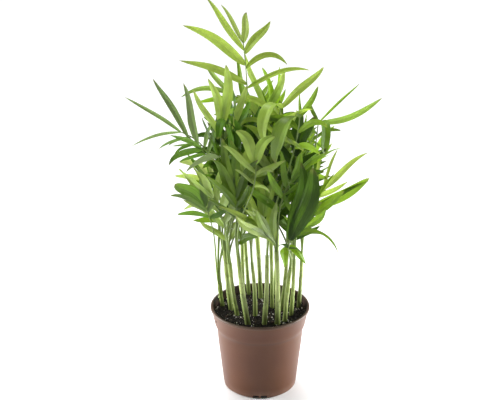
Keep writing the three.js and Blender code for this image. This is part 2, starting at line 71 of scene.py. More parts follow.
# ---------------------------------------------------------------- the seedlings
# foot (x, y) in the soil, fork (x, y, z) where the fronds part, and the radius at the foot
SEEDLINGS = [
    {"foot": (-46, 13), "fork": (-50, 11, 132), "radius": 2.0},
    {"foot": (-36, 4), "fork": (-43, 2, 182), "radius": 2.4},
    {"foot": (-28, -11), "fork": (-37, -14, 172), "radius": 2.3},
    {"foot": (-15, -33), "fork": (-27, -36, 196), "radius": 3.2},
    {"foot": (-6, -11), "fork": (-10, -8, 170), "radius": 2.6},
    {"foot": (5, -33), "fork": (8, -30, 190), "radius": 2.6},
    {"foot": (21, -33), "fork": (19, -38, 200), "radius": 3.0},
    {"foot": (27, 4), "fork": (33, 2, 182), "radius": 2.6},
    {"foot": (38, -10), "fork": (41, -16, 178), "radius": 2.4},
    {"foot": (48, 11), "fork": (51, 8, 172), "radius": 2.4},
    {"foot": (1, 37), "fork": (-4, 40, 190), "radius": 2.6},
    {"foot": (15, 10), "fork": (13, 12, 196), "radius": 2.2},
    {"foot": (19, 45), "fork": (22, 52, 180), "radius": 2.4},
    {"foot": (-14, 46), "fork": (-19, 54, 176), "radius": 2.4},
    {"foot": (34, 36), "fork": (42, 42, 178), "radius": 2.3},
    {"foot": (-36, 32), "fork": (-46, 38, 170), "radius": 2.2},
    {"foot": (-20, 16), "fork": (-22, 18, 186), "radius": 2.2},
    {"foot": (30, -26), "fork": (36, -36, 176), "radius": 2.4},
]
# flare, neck, waist: a stem's radius at the soil, at the flare's height and at its waist, as shares of
# the seedling's. sheath: length of the swelling under its tip. stout: the dice make it at least this
# stout. bend: how far it may bow. knot, knot_length: how far its rings stand out and how long they
# are. sunk: how deep under the soil's top it starts.
STEM = {
    "flare": 1.04,
    "flare_height": 5,
    "neck": 0.94,
    "waist": 0.9,
    "waist_at": 0.55,
    "sheath": 8,
    "stout": 0.92,
    "bend": 2.4,
    "knot": 0.18,
    "knot_length": 1.6,
    "sunk": 3,
    "steps": 40,
}
# Two sheaths wrap each stem. reach: how far up each goes, as a least share and what the dice add.
# over: how far each stands out from the stem. thickness: of their walls.
WRAPS = {"reach": [(0.34, 0.2), (0.66, 0.26)], "over": [0.45, 0.22], "thickness": 0.18}
# The dry scales at the foot: lean, length and half width are a least value and what the dice add.
SCALE = {
    "lean": (0.1, 0.35),
    "length": (3.5, 6),
    "half": (1.1, 0.9),
    "bend": 0.5,
    "tip_power": 0.5,
    "steps": 6,
}
# rings, crowding, sides: of the frame's stalks, with bare_rings of the rings below the leaflets.
# run_in: how straight a rib runs into its end. steps: of the finer stalks.
PETIOLE = {
    "base": 1.0,
    "tip": 0.5,
    "rings": 9,
    "bare_rings": 5,
    "crowding": 1.4,
    "sides": 3,
    "run_in": 0.34,
    "steps": 30,
}
SHEATH = [1.2, 2.0, 2.4, 2.7]  # a stem's tip radius by how many fronds it carries
GAP = 0.3

# ---------------------------------------------------------------- the fronds that shape the crown
# tip: end of the rib. toward, rise: where the rib points there. blade: length of rib with leaflets.
# gather: how much the pairs crowd towards the tip. leaf, wide: a leaflet's length and width.
# spread: its angle to the rib. droop: how far it bends down along its length. lift: how far it
# first stands up. face: heading that the blade's upper side turns to. stray: how far a leaflet may
# differ from what is named here. tone: 0 dark to 2 bright.
# One value holds for the whole frond, [left, right] for its two sides, and a list for a side
# names its leaflets one by one from the lowest pair up.
PLAIN = {"pairs": 4, "gather": 1.25, "spread": 40, "droop": 25, "lift": 10, "stray": 1, "tone": 1}
STRAY = {"angle": 14, "length": 0.2, "width": 0.24, "lift": 14, "droop": 0.6, "twist": 50}  # at most
LEADING_FRONDS = [
    {"stem": 4, "tip": [-20, 10, 444], "toward": 150, "rise": 83, "blade": 50, "gather": 1.6, "face": 280,
     "leaf": [[92, 92, 79, 55], [80, 64, 50, 37]], "wide": [[9.5, 12.5, 8, 5.5], [7, 7.5, 10.5, 9.5]],
     "spread": [[56, 45, 29, 22], [64, 50, 38, 14]], "droop": [[14, 8, 4, 4], [36, 150, 10, 4]],
     "lift": 4, "stray": 0.3, "tone": 2},
    {"stem": 17, "tip": [34, -84, 236], "toward": 30, "rise": 76, "blade": 12, "pairs": 2, "face": 268,
     "leaf": [[22, 94], [20, 92]], "wide": [[8, 20], [6, 22]],
     "spread": [[36, 0], [44, 12]], "droop": [[120, 3], [110, 5]], "lift": [[2, -4], [2, 4]],
     "stray": 0.3, "tone": 0},
    {"stem": 17, "tip": [31, -66, 221], "toward": 275, "rise": 4, "blade": 6, "pairs": 1, "face": 265,
     "leaf": [[36], [44]], "wide": [[11], [14]], "spread": [[44], [6]], "droop": [[200], [210]],
     "lift": 2, "stray": 0.3},
    {"stem": 3, "tip": [-6, -76, 328], "toward": 110, "rise": 80, "blade": 26, "pairs": 3, "face": 268,
     "leaf": [[32, 52, 46], [22, 26, 42]], "wide": [[4.4, 8, 14], [5, 6, 12.5]],
     "spread": [[52, 44, 18], [50, 38, 20]], "droop": [[20, 14, 26], [90, 80, 60]], "stray": 0.3,
     "tone": 2},
    {"stem": 11, "tip": [23, -34, 380], "toward": 40, "rise": 76, "blade": 34, "pairs": 3, "face": 244,
     "leaf": [[52, 62, 76], [50, 58, 76]], "wide": [[8, 10, 16.5], [7, 5, 10]],
     "spread": [[60, 52, 4], [60, 46, 33]], "droop": [[90, 120, 330], [60, 20, 3]],
     "lift": [[8, 8, 58], [8, 6, 4]], "stray": 0.3, "tone": 2},
    {"stem": 5, "tip": [44, -50, 375], "toward": 70, "rise": 80, "blade": 34, "pairs": 3, "face": 238,
     "leaf": [[44, 48, 80], [44, 50, 46]], "wide": [[9, 10, 24], [8, 8.5, 8]],
     "spread": [[44, 46, 6], [44, 40, 30]], "droop": [[90, 120, 300], [90, 60, 20]],
     "lift": [[10, 10, 60], [10, 10, 8]], "stray": 0.3},
    {"stem": 9, "tip": [67, -20, 357], "toward": 60, "rise": 80, "blade": 14, "pairs": 2, "face": 288,
     "leaf": [[24, 30], [30, 56]], "wide": [[4, 5], [5, 14.5]],
     "spread": [[50, 30], [50, 4]], "droop": [[40, 30], [60, 340]],
     "lift": [[10, 8], [10, 58]], "stray": 0.3},
    {"stem": 6, "tip": [3, -54, 234], "toward": 180, "rise": 60, "blade": 30, "pairs": 3, "gather": 1,
     "face": 276,
     "leaf": [[66, 70, 64], [62, 66, 64]], "wide": [[9, 11, 8], [11, 10.5, 10]],
     "spread": [[8, 4, 14], [20, 12, -2]], "droop": [[4, 4, 44], [4, 4, 4]],
     "lift": [[-2, -4, 4], [-6, -6, -2]], "stray": 0.3, "tone": 2},
    {"stem": 4, "tip": [-38, -44, 366], "toward": 250, "rise": 24, "blade": 16, "pairs": 2, "face": 268,
     "leaf": [[40, 46], [38, 42]], "wide": [[10, 13], [9, 11]], "spread": [[50, 30], [40, 12]],
     "droop": 170, "stray": 0.5, "tone": 0},
    {"stem": 3, "tip": [-30, -58, 286], "toward": 200, "rise": 78, "blade": 40, "face": 270,
     "leaf": [[56, 76, 78, 80], [30, 56, 76, 74]], "wide": [[8, 11, 12, 11], [7, 9, 11, 11]],
     "spread": [[34, 24, 14, 4], [26, 14, 10, 12]], "droop": [[30, 16, 10, 8], [60, 16, 8, 8]],
     "stray": 0.5},
    {"stem": 5, "tip": [41, -38, 322], "toward": 60, "rise": 82, "blade": 30, "pairs": 3, "face": 270,
     "leaf": [[52, 58, 56], [48, 52, 54]], "wide": [[10, 11, 13], [9, 11, 14]],
     "spread": [[50, 34, 6], [46, 30, 8]], "droop": 16, "stray": 0.5, "tone": 0},
    {"stem": 16, "tip": [-45, -20, 350], "toward": 150, "rise": 86, "blade": 14, "pairs": 2, "face": 270,
     "leaf": [[74, 66], [78, 80]], "wide": [[8, 11], [10, 13]],
     "spread": [[21, 6], [28, 13]], "droop": 5, "lift": 4, "stray": 0.3, "tone": 2},
    {"stem": 1, "tip": [-85, -10, 335], "toward": 180, "rise": 38, "blade": 30, "pairs": 3, "face": 270,
     "leaf": [[34, 30, 40], [56, 76, 79]], "wide": [[5, 4, 3.6], [7, 9.6, 8.4]],
     "spread": [[56, 54, 50], [46, 31, 27]], "droop": [[40, 20, 14], [6, 10, 3]], "lift": 4,
     "stray": 0.3, "tone": 0},
    {"stem": 15, "tip": [-94, 15, 331], "toward": 182, "rise": 22, "blade": 32, "pairs": 3, "face": 270,
     "leaf": [[42, 32, 66], [34, 38, 80]], "wide": [[3.4, 3, 4], [6.5, 5, 5.4]],
     "spread": [[36, 40, 20], [50, 44, 18]], "droop": [[20, 30, 50], [10, 6, 26]], "lift": 2, "stray": 0.3,
     "tone": 0},
    {"stem": 2, "tip": [-68, -36, 330], "toward": 190, "rise": 12, "blade": 24, "pairs": 2, "face": 270,
     "leaf": [[46, 46], [44, 44]], "wide": [[8, 8], [9, 7]], "spread": [[32, 12], [60, 30]],
     "droop": [[80, 66], [40, 50]], "stray": 0.5, "tone": 0},
    {"stem": 0, "tip": [-65, -25, 252], "toward": 150, "rise": 66, "blade": 14, "pairs": 3, "face": 268,
     "leaf": [[42, 52, 48], [28, 42, 52]], "wide": [[7, 6.6, 17], [8, 9, 11]],
     "spread": [[46, 30, 20], [70, 40, 10]], "droop": [[30, 52, 6], [20, 10, 10]], "stray": 0.3, "tone": 0},
    {"stem": 9, "tip": [68, 0, 349], "toward": 0, "rise": 32, "blade": 24, "pairs": 2, "face": 270,
     "leaf": [[52, 66], [34, 86]], "wide": [[5, 3.4], [3.8, 8.6]],
     "spread": [[44, 13], [60, 26]], "droop": [[20, 0], [90, -48]], "lift": 3, "stray": 0.3, "tone": 1},
    {"stem": 14, "tip": [73, -24, 273], "toward": 0, "rise": 50, "blade": 28, "pairs": 3, "face": 268,
     "leaf": [[52, 58, 52], [36, 62, 74]], "wide": [[6, 5.6, 4.4], [3.8, 6.6, 8]],
     "spread": [[60, 46, 24], [62, 14, 6]], "droop": [[10, 8, 6], [30, 10, 4]], "lift": 4, "stray": 0.3,
     "tone": 2},
    {"stem": 8, "tip": [58, -46, 258], "toward": 0, "rise": 52, "blade": 46, "face": 268,
     "leaf": [[36, 50, 52, 52], [74, 72, 80, 84]], "wide": [[7, 9, 6.5, 4.2], [13, 13, 11, 6]],
     "spread": [[50, 40, 30, 8], [36, 12, 19, 22]], "droop": [[30, 10, 8, 6], [118, 12, 8, 4]],
     "lift": 4, "stray": 0.3},
    {"stem": 7, "tip": [7, 15, 357], "toward": 90, "rise": 86, "blade": 16, "pairs": 2, "face": 270,
     "leaf": [[54, 78], [50, 58]], "wide": [[9.5, 7.6], [4, 10]],
     "spread": [[30, 19], [36, 24]], "droop": 5, "lift": 4, "stray": 0.3, "tone": 2},
    {"stem": 10, "tip": [-35, 30, 374], "toward": 176, "rise": 24, "blade": 36, "pairs": 3, "face": 270,
     "leaf": [[54, 60, 68], [50, 56, 50]], "wide": 7,
     "spread": [[44, 30, 4], [44, 32, 24]], "droop": [[30, 30, 60], [8, 8, 8]], "stray": 0.4},
    {"stem": 15, "tip": [-58, 40, 262], "toward": 170, "rise": 60, "blade": 40, "leaf": 60, "wide": 9.6,
     "pairs": 3, "face": 270, "droop": 26, "tone": 2},
]
# The other fronds follow a golden-angle rule. first: the first one's heading. inner, outer: how far
# out the innermost and outermost tips lie. depth, back: the crown's squash and shift from front to
# back. top, fall: a tip's height, and how it falls outwards. layers: how far the tips are staggered.
# lean: by how many degrees a rib's end is flatter, a millimetre out. faces: where the upper sides turn.
# swing, toward, face_spread: how far the dice spread the height, the heading and the face. A pair is
# a middle value and its spread. pull: the share of its tip's distance out where a frond's stem stands
# best. crowding: what each frond that a stem already has adds to that stem's distance.
GOLDEN_ANGLE = 137.508
FILL = {
    "count": 18, "seed": 1000, "first": 40, "inner": 10, "outer": 72, "depth": 0.95, "back": 6,
    "top": 368, "fall": 0.9, "layers": 48, "swing": 24,
    "toward": 50, "rise": (84, 16), "lean": 0.5, "blade": 44, "leaf": (68, 16), "wide": (9.6, 2.4),
    "faces": "inwards", "face_spread": 60, "spread": (36, 16), "droop": (26, 24),
    "tones": (1, 0, 2, 1, 0), "pull": 0.6, "crowding": 60,
}
# Younger fronds stand in the middle of each seedling's ring and fill the inside of the crown. Their
# leaflets grow where they stay ROOM away from those of the fronds before them.
INNER = {
    "count": 34, "seed": 3000, "first": 95, "inner": 4, "outer": 62, "depth": 0.8, "back": 14,
    "top": 310, "fall": 0.7, "layers": 0, "swing": -84,
    "toward": 70, "rise": (76, 24), "lean": 0.4, "blade": 38, "leaf": (50, 18), "wide": (9, 3.4),
    "faces": "forwards", "face_spread": 120, "spread": (38, 18), "droop": (34, 36),
    "tones": (0, 0, 1, 0, 1, 0, 2), "pull": 0.7, "crowding": 30,
}
ROOM = 3.2
# Half-open fronds stand beside an older one and fill out its fan.
YOUNG_FRONDS = [
    {**LEADING_FRONDS[7], "pairs": 2, "blade": 20, "leaf": [[44, 40], [66, 62]], "wide": [[7, 7], [11, 12]],
     "spread": [[6, 2], [17, 8]], "droop": 4, "lift": -7},
    {**LEADING_FRONDS[18], "pairs": 2, "blade": 40, "leaf": [[30, 36], [72, 82]], "wide": [[7, 8], [13, 14]],
     "spread": [[40, 30], [26, 23]], "droop": 8, "lift": 0},
    {**LEADING_FRONDS[7], "tip": [4, -46, 248], "toward": 100, "rise": 84, "blade": 22, "pairs": 2,
     "leaf": [[46, 50], [40, 46]], "wide": [[13, 13], [13, 12]],
     "spread": [[24, 8], [26, 10]], "droop": 6, "lift": 0},
]
LEAF_STEPS = 12
DROOP = {"root": 0.4, "more": 1.2}  # the share of its droop that a leaflet has at its root, and gains
FACING = {"level": 0.8, "up": 0.6}  # how much a blade's upper side faces its heading and the sky
STAGGER = 0.35  # how far one side's leaflets stand below the other's, as a share of a pair's room
# What the frame's fronds may have tried in turn, until each stalk and leaflet found its room.
BOWS = [0.42, 0.34, 0.5, 0.26, 0.58]
SWINGS = [0, 60, 180, 300]
SWING_REACH = 7
TURNS = [0, 9, -9, 18, -18]
LIFTS = [0, 12, -12]
SIZES = [1, 0.75, 0.55]
SAME = 0.02  # a try that lies this close to the frame's frond is the one that grew
NEAR = 0.6  # past this, none of the tries grew

# ---------------------------------------------------------------- how the fronds look
# Each tone's slot and shades, dealt out frond by frond: leaf, vein, light that shines through, sheen.
GREENS = {
    "frond_dark": [("2e4814", "567038", "547c1c", 0.2), ("3a581a", "647c40", "628a22", 0.24)],
    "frond_mid": [("507614", "7c963e", "84a826", 0.24), ("5c831a", "889e44", "8eb22e", 0.28)],
    "frond_bright": [("7a9932", "a2b162", "a8c146", 0.5), ("86a440", "aeba74", "b2ca56", 0.52)],
}
# By the frond's number: how light its green is, partly its own tone and partly painted light and shade
# (lighter where a frond lies in shade, darker inside the crown), how much painted grey sheen lies on it,
# how blunt its leaflets end (a lower power is blunter), and how light its stalk is, with painted light
# on the top frond's rib. A list names the leaflets one by one, as in the table of fronds. others: what
# isn't named. inner: what is neither named nor in the frame.
TONE_AND_PAINTED_LIGHT = {
    1: [[1.2, 1.0, 0.9, 0.9], [1.2, 1.1, 0.95, 0.9]], 2: 0.6, 3: 1.0,
    4: [[0.75, 1.05, 1.35], [0.75, 0.75, 1.45]], 5: [[1.0, 1.1, 1.7], [1.0, 1.1, 0.75]],
    6: [[0.7, 0.7, 0.66], [0.8, 0.6, 0.6]], 7: [[0.95, 0.9], [0.95, 1.0]],
    8: [[0.95, 0.6, 0.72], [0.95, 1.0, 0.9]], 9: 0.8, 10: 0.5, 11: 0.66, 12: 1.15, 13: 1.4, 14: 1.3,
    15: 1.42, 16: 1.0, 17: 1.15, 18: 0.78, 19: 0.66, 20: 1.5, 21: 1.35, 22: 1.1, 23: 1.2, 24: 1.3,
    26: 1.2, 27: 1.25, 201: 0.86, 202: 0.9, 203: 1.35, "others": 0.86, "inner": 0.66,
}
PAINTED_SHEEN = {
    1: 0.06, 5: [[0, 0, 0.16], [0, 0, 0]], 6: [[0, 0, 0.06], [0, 0, 0]], 7: [[0.06, 0], [0, 0.24]],
    12: 0.04, 13: 0.2, 14: 0.22, 15: 0.27, 16: 0.14, 17: 0.14, 20: 0.12, 21: 0.16, 22: 0.14,
}
BLUNT = {2: 0.55, 4: 0.36, 5: 0.45, 6: 0.42, 7: 0.4, 9: 0.5, 11: 0.5, 16: 0.5, "others": 0.62}
STALK_TONE_AND_PAINTED_LIGHT = {1: 2.0, 4: 1.0, "others": 0.95}
# The blade tree's inputs for a leaflet.
BLADES = {
    "Steps Along": 22, "Steps Across": 16, "Root Power": 0.55, "Fold": 0.32, "Pleats": 3.0,
    "Pleat Depth": 0.035, "Ripple": 0.12, "Sway": 0.5,
}


# ---------------------------------------------------------------- small helpers
def heading(azimuth, rise):
    level = math.cos(math.radians(rise))
    return Vector((
        math.cos(math.radians(azimuth)) * level,
        math.sin(math.radians(azimuth)) * level,
        math.sin(math.radians(rise)),
    ))


def dice(seed):
    """A roll of numbers from 0 to 1, always the same for the same seed."""
    state = (seed * 2654435761 + 40503) % 2**32

    def roll():
        nonlocal state
        state = (state * 1664525 + 1013904223) % 2**32
        return state / 2**32

    roll()
    roll()
    return roll


def about(pair, roll):
    """A middle value, moved by the dice within its spread."""
    return pair[0] + (roll() - 0.5) * pair[1]


def least_and_more(pair, roll):
    """A least value and the dice's share of what may come on top."""
    return pair[0] + pair[1] * roll()


def for_leaflet(value, side, pair, share=1):
    """What a frond names for one leaflet; a share follows its place where it isn't named alone."""
    own = value[0 if side < 0 else 1] if isinstance(value, list) else value
    return own[pair] if isinstance(own, list) else own * share


def turned(vector, axis, angle):
    spun = vector.copy()
    spun.rotate(Quaternion(axis, angle))
    return spun


def srgb(code):
    """A colour such as 'a8bd76' as linear red, green, blue and alpha."""
    parts = [int(code[i:i + 2], 16) / 255 for i in (0, 2, 4)]
    return (*[c / 12.92 if c <= 0.04045 else ((c + 0.055) / 1.055) ** 2.4 for c in parts], 1.0)


# ---------------------------------------------------------------- the growth rule
def golden_fronds(rule, carried):
    """Fronds dealt out by the golden angle, each to the stem that stands best and carries least."""
    fronds = []
    for i in range(rule["count"]):
        roll = dice(rule["seed"] + i)
        azimuth = rule["first"] + GOLDEN_ANGLE * i
        share = (i + 0.5) / rule["count"]
        out = rule["inner"] + (rule["outer"] - rule["inner"]) * math.sqrt(share)
        drop = rule["layers"] * (i % 3) * share / 2
        tip = (
            out * math.cos(math.radians(azimuth)),
            out * math.sin(math.radians(azimuth)) * rule["depth"] + rule["back"],
            about((rule["top"] - rule["fall"] * out - drop, rule["swing"]), roll),
        )
        cost = [
            carried[k] * rule["crowding"]
            + math.hypot(s["fork"][0] - tip[0] * rule["pull"], s["fork"][1] - tip[1] * rule["pull"])
            for k, s in enumerate(SEEDLINGS)
        ]
        stem = cost.index(min(cost))
        carried[stem] += 1
        facing = (270 if rule["faces"] == "forwards" else azimuth + 180, rule["face_spread"])
        fronds.append({
            "stem": stem,
            "tip": tip,
            "toward": about((azimuth, rule["toward"]), roll),
            "rise": about(rule["rise"], roll) - rule["lean"] * out,
            "blade": rule["blade"],
            "leaf": about(rule["leaf"], roll),
            "wide": about(rule["wide"], roll),
            "pairs": 3 + i % 2,
            "face": about(facing, roll),
            "spread": about(rule["spread"], roll),
            "droop": about(rule["droop"], roll),
            "tone": rule["tones"][i % len(rule["tones"])],
        })
    return fronds


def seat_fronds(fronds):
    """The fronds of one seedling stand round its tip, each on the side where it ends."""
    for k, seedling in enumerate(SEEDLINGS):
        own = [f for f in fronds if f["stem"] == k]
        seedling["carries"] = len(own)
        middle = [sum(f["tip"][axis] for f in own) / len(own) for axis in (0, 1)]

        def lean(f):
            return math.atan2(f["tip"][1] - middle[1], f["tip"][0] - middle[0])

        own.sort(key=lean)
        out = 0 if len(own) == 1 else (PETIOLE["base"] + GAP) / math.sin(math.pi / len(own))
        for i, f in enumerate(own):
            angle = lean(own[0]) + 2 * math.pi * i / len(own)
            f["seat"] = Vector((math.cos(angle) * out, math.sin(angle) * out, GAP))


class RibCurve:
    """A frond's stalk and rib: it leaves the seedling along the seedling and bends to the rib's heading."""

    LENGTH_STEPS = 200

    def __init__(self, frond, bow, aside):
        seedling = SEEDLINGS[frond["stem"]]
        start = Vector(seedling["fork"]) + frond["seat"]
        foot = Vector((*seedling["foot"], SOIL["top"]))
        self.along = (Vector(seedling["fork"]) - foot).normalized()
        tip = Vector(frond["tip"]) + aside
        reach = (tip - start).length
        into = heading(frond["toward"], frond["rise"])
        self.points = [start, start + self.along * reach * bow, tip - into * reach * PETIOLE["run_in"], tip]
        self.ts = np.linspace(0, 1, self.LENGTH_STEPS + 1)
        path = np.array([self.at(t) for t in self.ts])
        steps = np.linalg.norm(np.diff(path, axis=0), axis=1)
        self.lengths = np.concatenate([[0], np.cumsum(steps)])
        self.length = self.lengths[-1]

    def at(self, t):
        a, b, c, d = self.points
        m = 1 - t
        return a * m**3 + b * 3 * m * m * t + c * 3 * m * t * t + d * t**3

    def tangent(self, t):
        a, b, c, d = self.points
        m = 1 - t
        return ((b - a) * m * m + (c - b) * 2 * m * t + (d - c) * t * t).normalized()

    def t_of(self, share):
        return float(np.interp(share * self.length, self.lengths, self.ts))


def rib_marks(frond, curve):
    """Corners of the stalk's solid below its leaflets."""
    across = heading(frond["toward"] + 90, 0)
    marks = []
    for i in range(1, PETIOLE["bare_rings"] + 1):
        t = 1 - (1 - i / PETIOLE["rings"]) ** PETIOLE["crowding"]
        tangent = curve.tangent(t)
        right = tangent.cross(across).normalized()
        left = tangent.cross(right)
        radius = PETIOLE["base"] + (PETIOLE["tip"] - PETIOLE["base"]) * t
        for k in range(PETIOLE["sides"]):
            angle = 2 * math.pi * k / PETIOLE["sides"]
            marks.append(curve.at(t) + right * math.cos(angle) * radius + left * math.sin(angle) * radius)
    return marks


def midrib(base, tangent, normal, leaf):
    """A leaflet's midrib: places, headings and normals, bending down step by step."""
    outward = tangent.cross(normal) * leaf["side"]
    d = (tangent * math.cos(leaf["angle"]) + outward * math.sin(leaf["angle"])).normalized()
    n = (normal - d * normal.dot(d)).normalized()
    hinge = d.cross(n).normalized()
    d = turned(d, hinge, leaf["lift"])
    n = turned(n, hinge, leaf["lift"])
    at = base.copy()
    rib = [(at.copy(), d.copy(), n.copy())]
    for i in range(LEAF_STEPS):
        at += d * (leaf["length"] / LEAF_STEPS)
        sag = Vector((-d.y, d.x, 0))
        level = sag.length
        if level > 1e-6:
            sag /= level
            share = DROOP["root"] + DROOP["more"] * (i + 1) / LEAF_STEPS
            bend = leaf["droop"] / LEAF_STEPS * level * share
            d = turned(d, sag, bend)
            n = turned(n, sag, bend)
        n = turned(n, d, leaf["twist"] / LEAF_STEPS)
        rib.append((at.copy(), d.copy(), n.copy()))
    return rib


def place_tree(places):
    tree = KDTree(len(places))
    for i, place in enumerate(places):
        tree.insert(place, i)
    tree.balance()
    return tree


def nearest(tree, place):
    return tree.find(place)[2]


def grown_curve(frond, corners):
    """The stalk's bow and swing that the frame's frond has."""
    best = (math.inf, None)
    for swing in SWINGS:
        aside = heading(swing, 0) * (SWING_REACH if swing else 0)
        for bow in BOWS:
            curve = RibCurve(frond, bow, aside)
            marks = rib_marks(frond, curve)
            off = sum(nearest(corners, mark) for mark in marks) / len(marks)
            if off < best[0]:
                best = (off, curve)
            if off < SAME:
                return curve
    return best[1]


def smaller_or_turned(wish, size, turn, lift=0):
    """The wish with a smaller length, a width that shrinks less, and its angle and lift changed."""
    return {
        **wish,
        "angle": wish["angle"] + math.radians(turn),
        "lift": wish["lift"] + math.radians(lift),
        "length": wish["length"] * size,
        "width": wish["width"] * (0.4 + 0.6 * size),
    }


def grown_leaf(corners, base, tangent, normal, wish):
    """The size, lift and turn that the frame's leaflet has, or None where it has none."""
    best = (NEAR, None)
    for size, lift, turn in itertools.product(SIZES, LIFTS, TURNS):
        leaf = smaller_or_turned(wish, size, turn, lift)
        rib = midrib(base, tangent, normal, leaf)
        off = nearest(corners, rib[-1][0])
        if off < best[0]:
            best = (off, {**leaf, "rib": rib})
        if off < SAME:
            break
    return best[1]


def free_leaf(taken, base, tangent, normal, wish):
    """The first size and turn with room between the places taken, or None where there is none."""
    for turn, size in itertools.product(TURNS, SIZES):
        leaf = smaller_or_turned(wish, size, turn)
        rib = midrib(base, tangent, normal, leaf)
        if min(nearest(taken, at) for at, _, _ in rib[2:]) > ROOM:
            return {**leaf, "rib": rib}
    return None


def wished_leaf(base, tangent, normal, wish):
    """The leaflet just as it is named, whatever is beside it."""
    return {**wish, "rib": midrib(base, tangent, normal, wish)}


def grow_leaflets(frond, grow_one):
    """The leaflets of a frond, pair by pair; grow_one gives a leaflet its final lie, or None."""
    roll = dice(frond["index"] + 1)
    curve = frond["curve"]
    start = 1 - frond["blade"] / curve.length
    facing = heading(frond["face"], 0) * FACING["level"] + UP * FACING["up"]
    leaflets = []
    for j in range(frond["pairs"]):
        q = j / (frond["pairs"] - 1) if frond["pairs"] > 1 else 1
        for side in (1, -1):
            last = j == frond["pairs"] - 1
            stagger = STAGGER * (1 - start) / frond["pairs"] if side > 0 and not last else 0
            t = curve.t_of(start + (1 - start) * (1 - (1 - q) ** frond["gather"]) - stagger)
            base = curve.at(t)
            tangent = curve.tangent(t)
            normal = (facing - tangent * facing.dot(tangent)).normalized()
            # Lower pairs spread wider, and the middle pairs are the longest.
            share = {"spread": 1.25 - 0.75 * q, "leaf": 0.8 + 0.8 * q - 0.85 * q * q}
            named = {
                key: for_leaflet(frond[key], side, j, share.get(key, 1))
                for key in ("spread", "leaf", "wide", "lift", "droop")
            }
            stray = {
                key: (roll() - 0.5) * most * frond["stray"]
                for key, most in STRAY.items()
            }
            wish = {
                "side": side,
                "pair": j,
                "angle": math.radians(named["spread"] + stray["angle"]),
                "length": named["leaf"] * (1 + stray["length"]),
                "width": named["wide"] * (1 + stray["width"]),
                "lift": math.radians(named["lift"] + stray["lift"]),
                "droop": math.radians(named["droop"] * (1 + stray["droop"])),
                "twist": math.radians(stray["twist"]),
            }
            leaf = grow_one(base, tangent, normal, wish)
            if leaf:
                leaflets.append(leaf)
    return leaflets


def grow_fronds():
    """The frame's fronds: stalks and leaflets lie where the solids have them."""
    carried = [sum(f["stem"] == k for f in LEADING_FRONDS) for k in range(len(SEEDLINGS))]
    named = LEADING_FRONDS + golden_fronds(FILL, carried)
    fronds = [{**PLAIN, **f, "index": i, "node": f"frond_{i + 1:02d}"} for i, f in enumerate(named)]
    seat_fronds(fronds)
    for frond in fronds:
        corners = place_tree([v.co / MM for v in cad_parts[frond["node"]].data.vertices])
        frond["curve"] = grown_curve(frond, corners)
        frond["leaflets"] = grow_leaflets(frond, functools.partial(grown_leaf, corners))
    return fronds


def unframed(fronds, first_index):
    """Fronds that the frame doesn't hold rise from the middle of their seedling's ring."""
    made = []
    for i, named in enumerate(fronds):
        frond = {**PLAIN, **named, "index": first_index + i, "seat": Vector((0, 0, GAP))}
        frond["curve"] = RibCurve(frond, BOWS[0], Vector())
        made.append(frond)
    return made


def places_of(fronds):
    return [at for f in fronds for leaf in f["leaflets"] for at, _, _ in leaf["rib"]]


def grow_inner_fronds(fronds):
    """The half-open fronds, and then the inner ones that find room between all the others."""
    grown = unframed(YOUNG_FRONDS, 200)
    for frond in grown:
        frond["leaflets"] = grow_leaflets(frond, wished_leaf)
    places = places_of(fronds + grown)
    for frond in unframed(golden_fronds(INNER, [0] * len(SEEDLINGS)), 100):
        frond["leaflets"] = grow_leaflets(frond, functools.partial(free_leaf, place_tree(places)))
        if len(frond["leaflets"]) > 2:
            places += places_of([frond])
            grown.append(frond)
    return grown


# ---------------------------------------------------------------- wiring node trees
GEOMETRY = "NodeSocketGeometry"
MATERIAL = "NodeSocketMaterial"
NUMBER = "NodeSocketFloat"
COUNT = "NodeSocketInt"
SWITCH = "NodeSocketBool"
VECTOR = "NodeSocketVector"
COLOUR = "NodeSocketColor"
ROUND = 2 * math.pi


def socket_of(sockets, key):
    if isinstance(key, int):
        return sockets[key]
    return next(s for s in sockets if s.name == key and s.enabled)


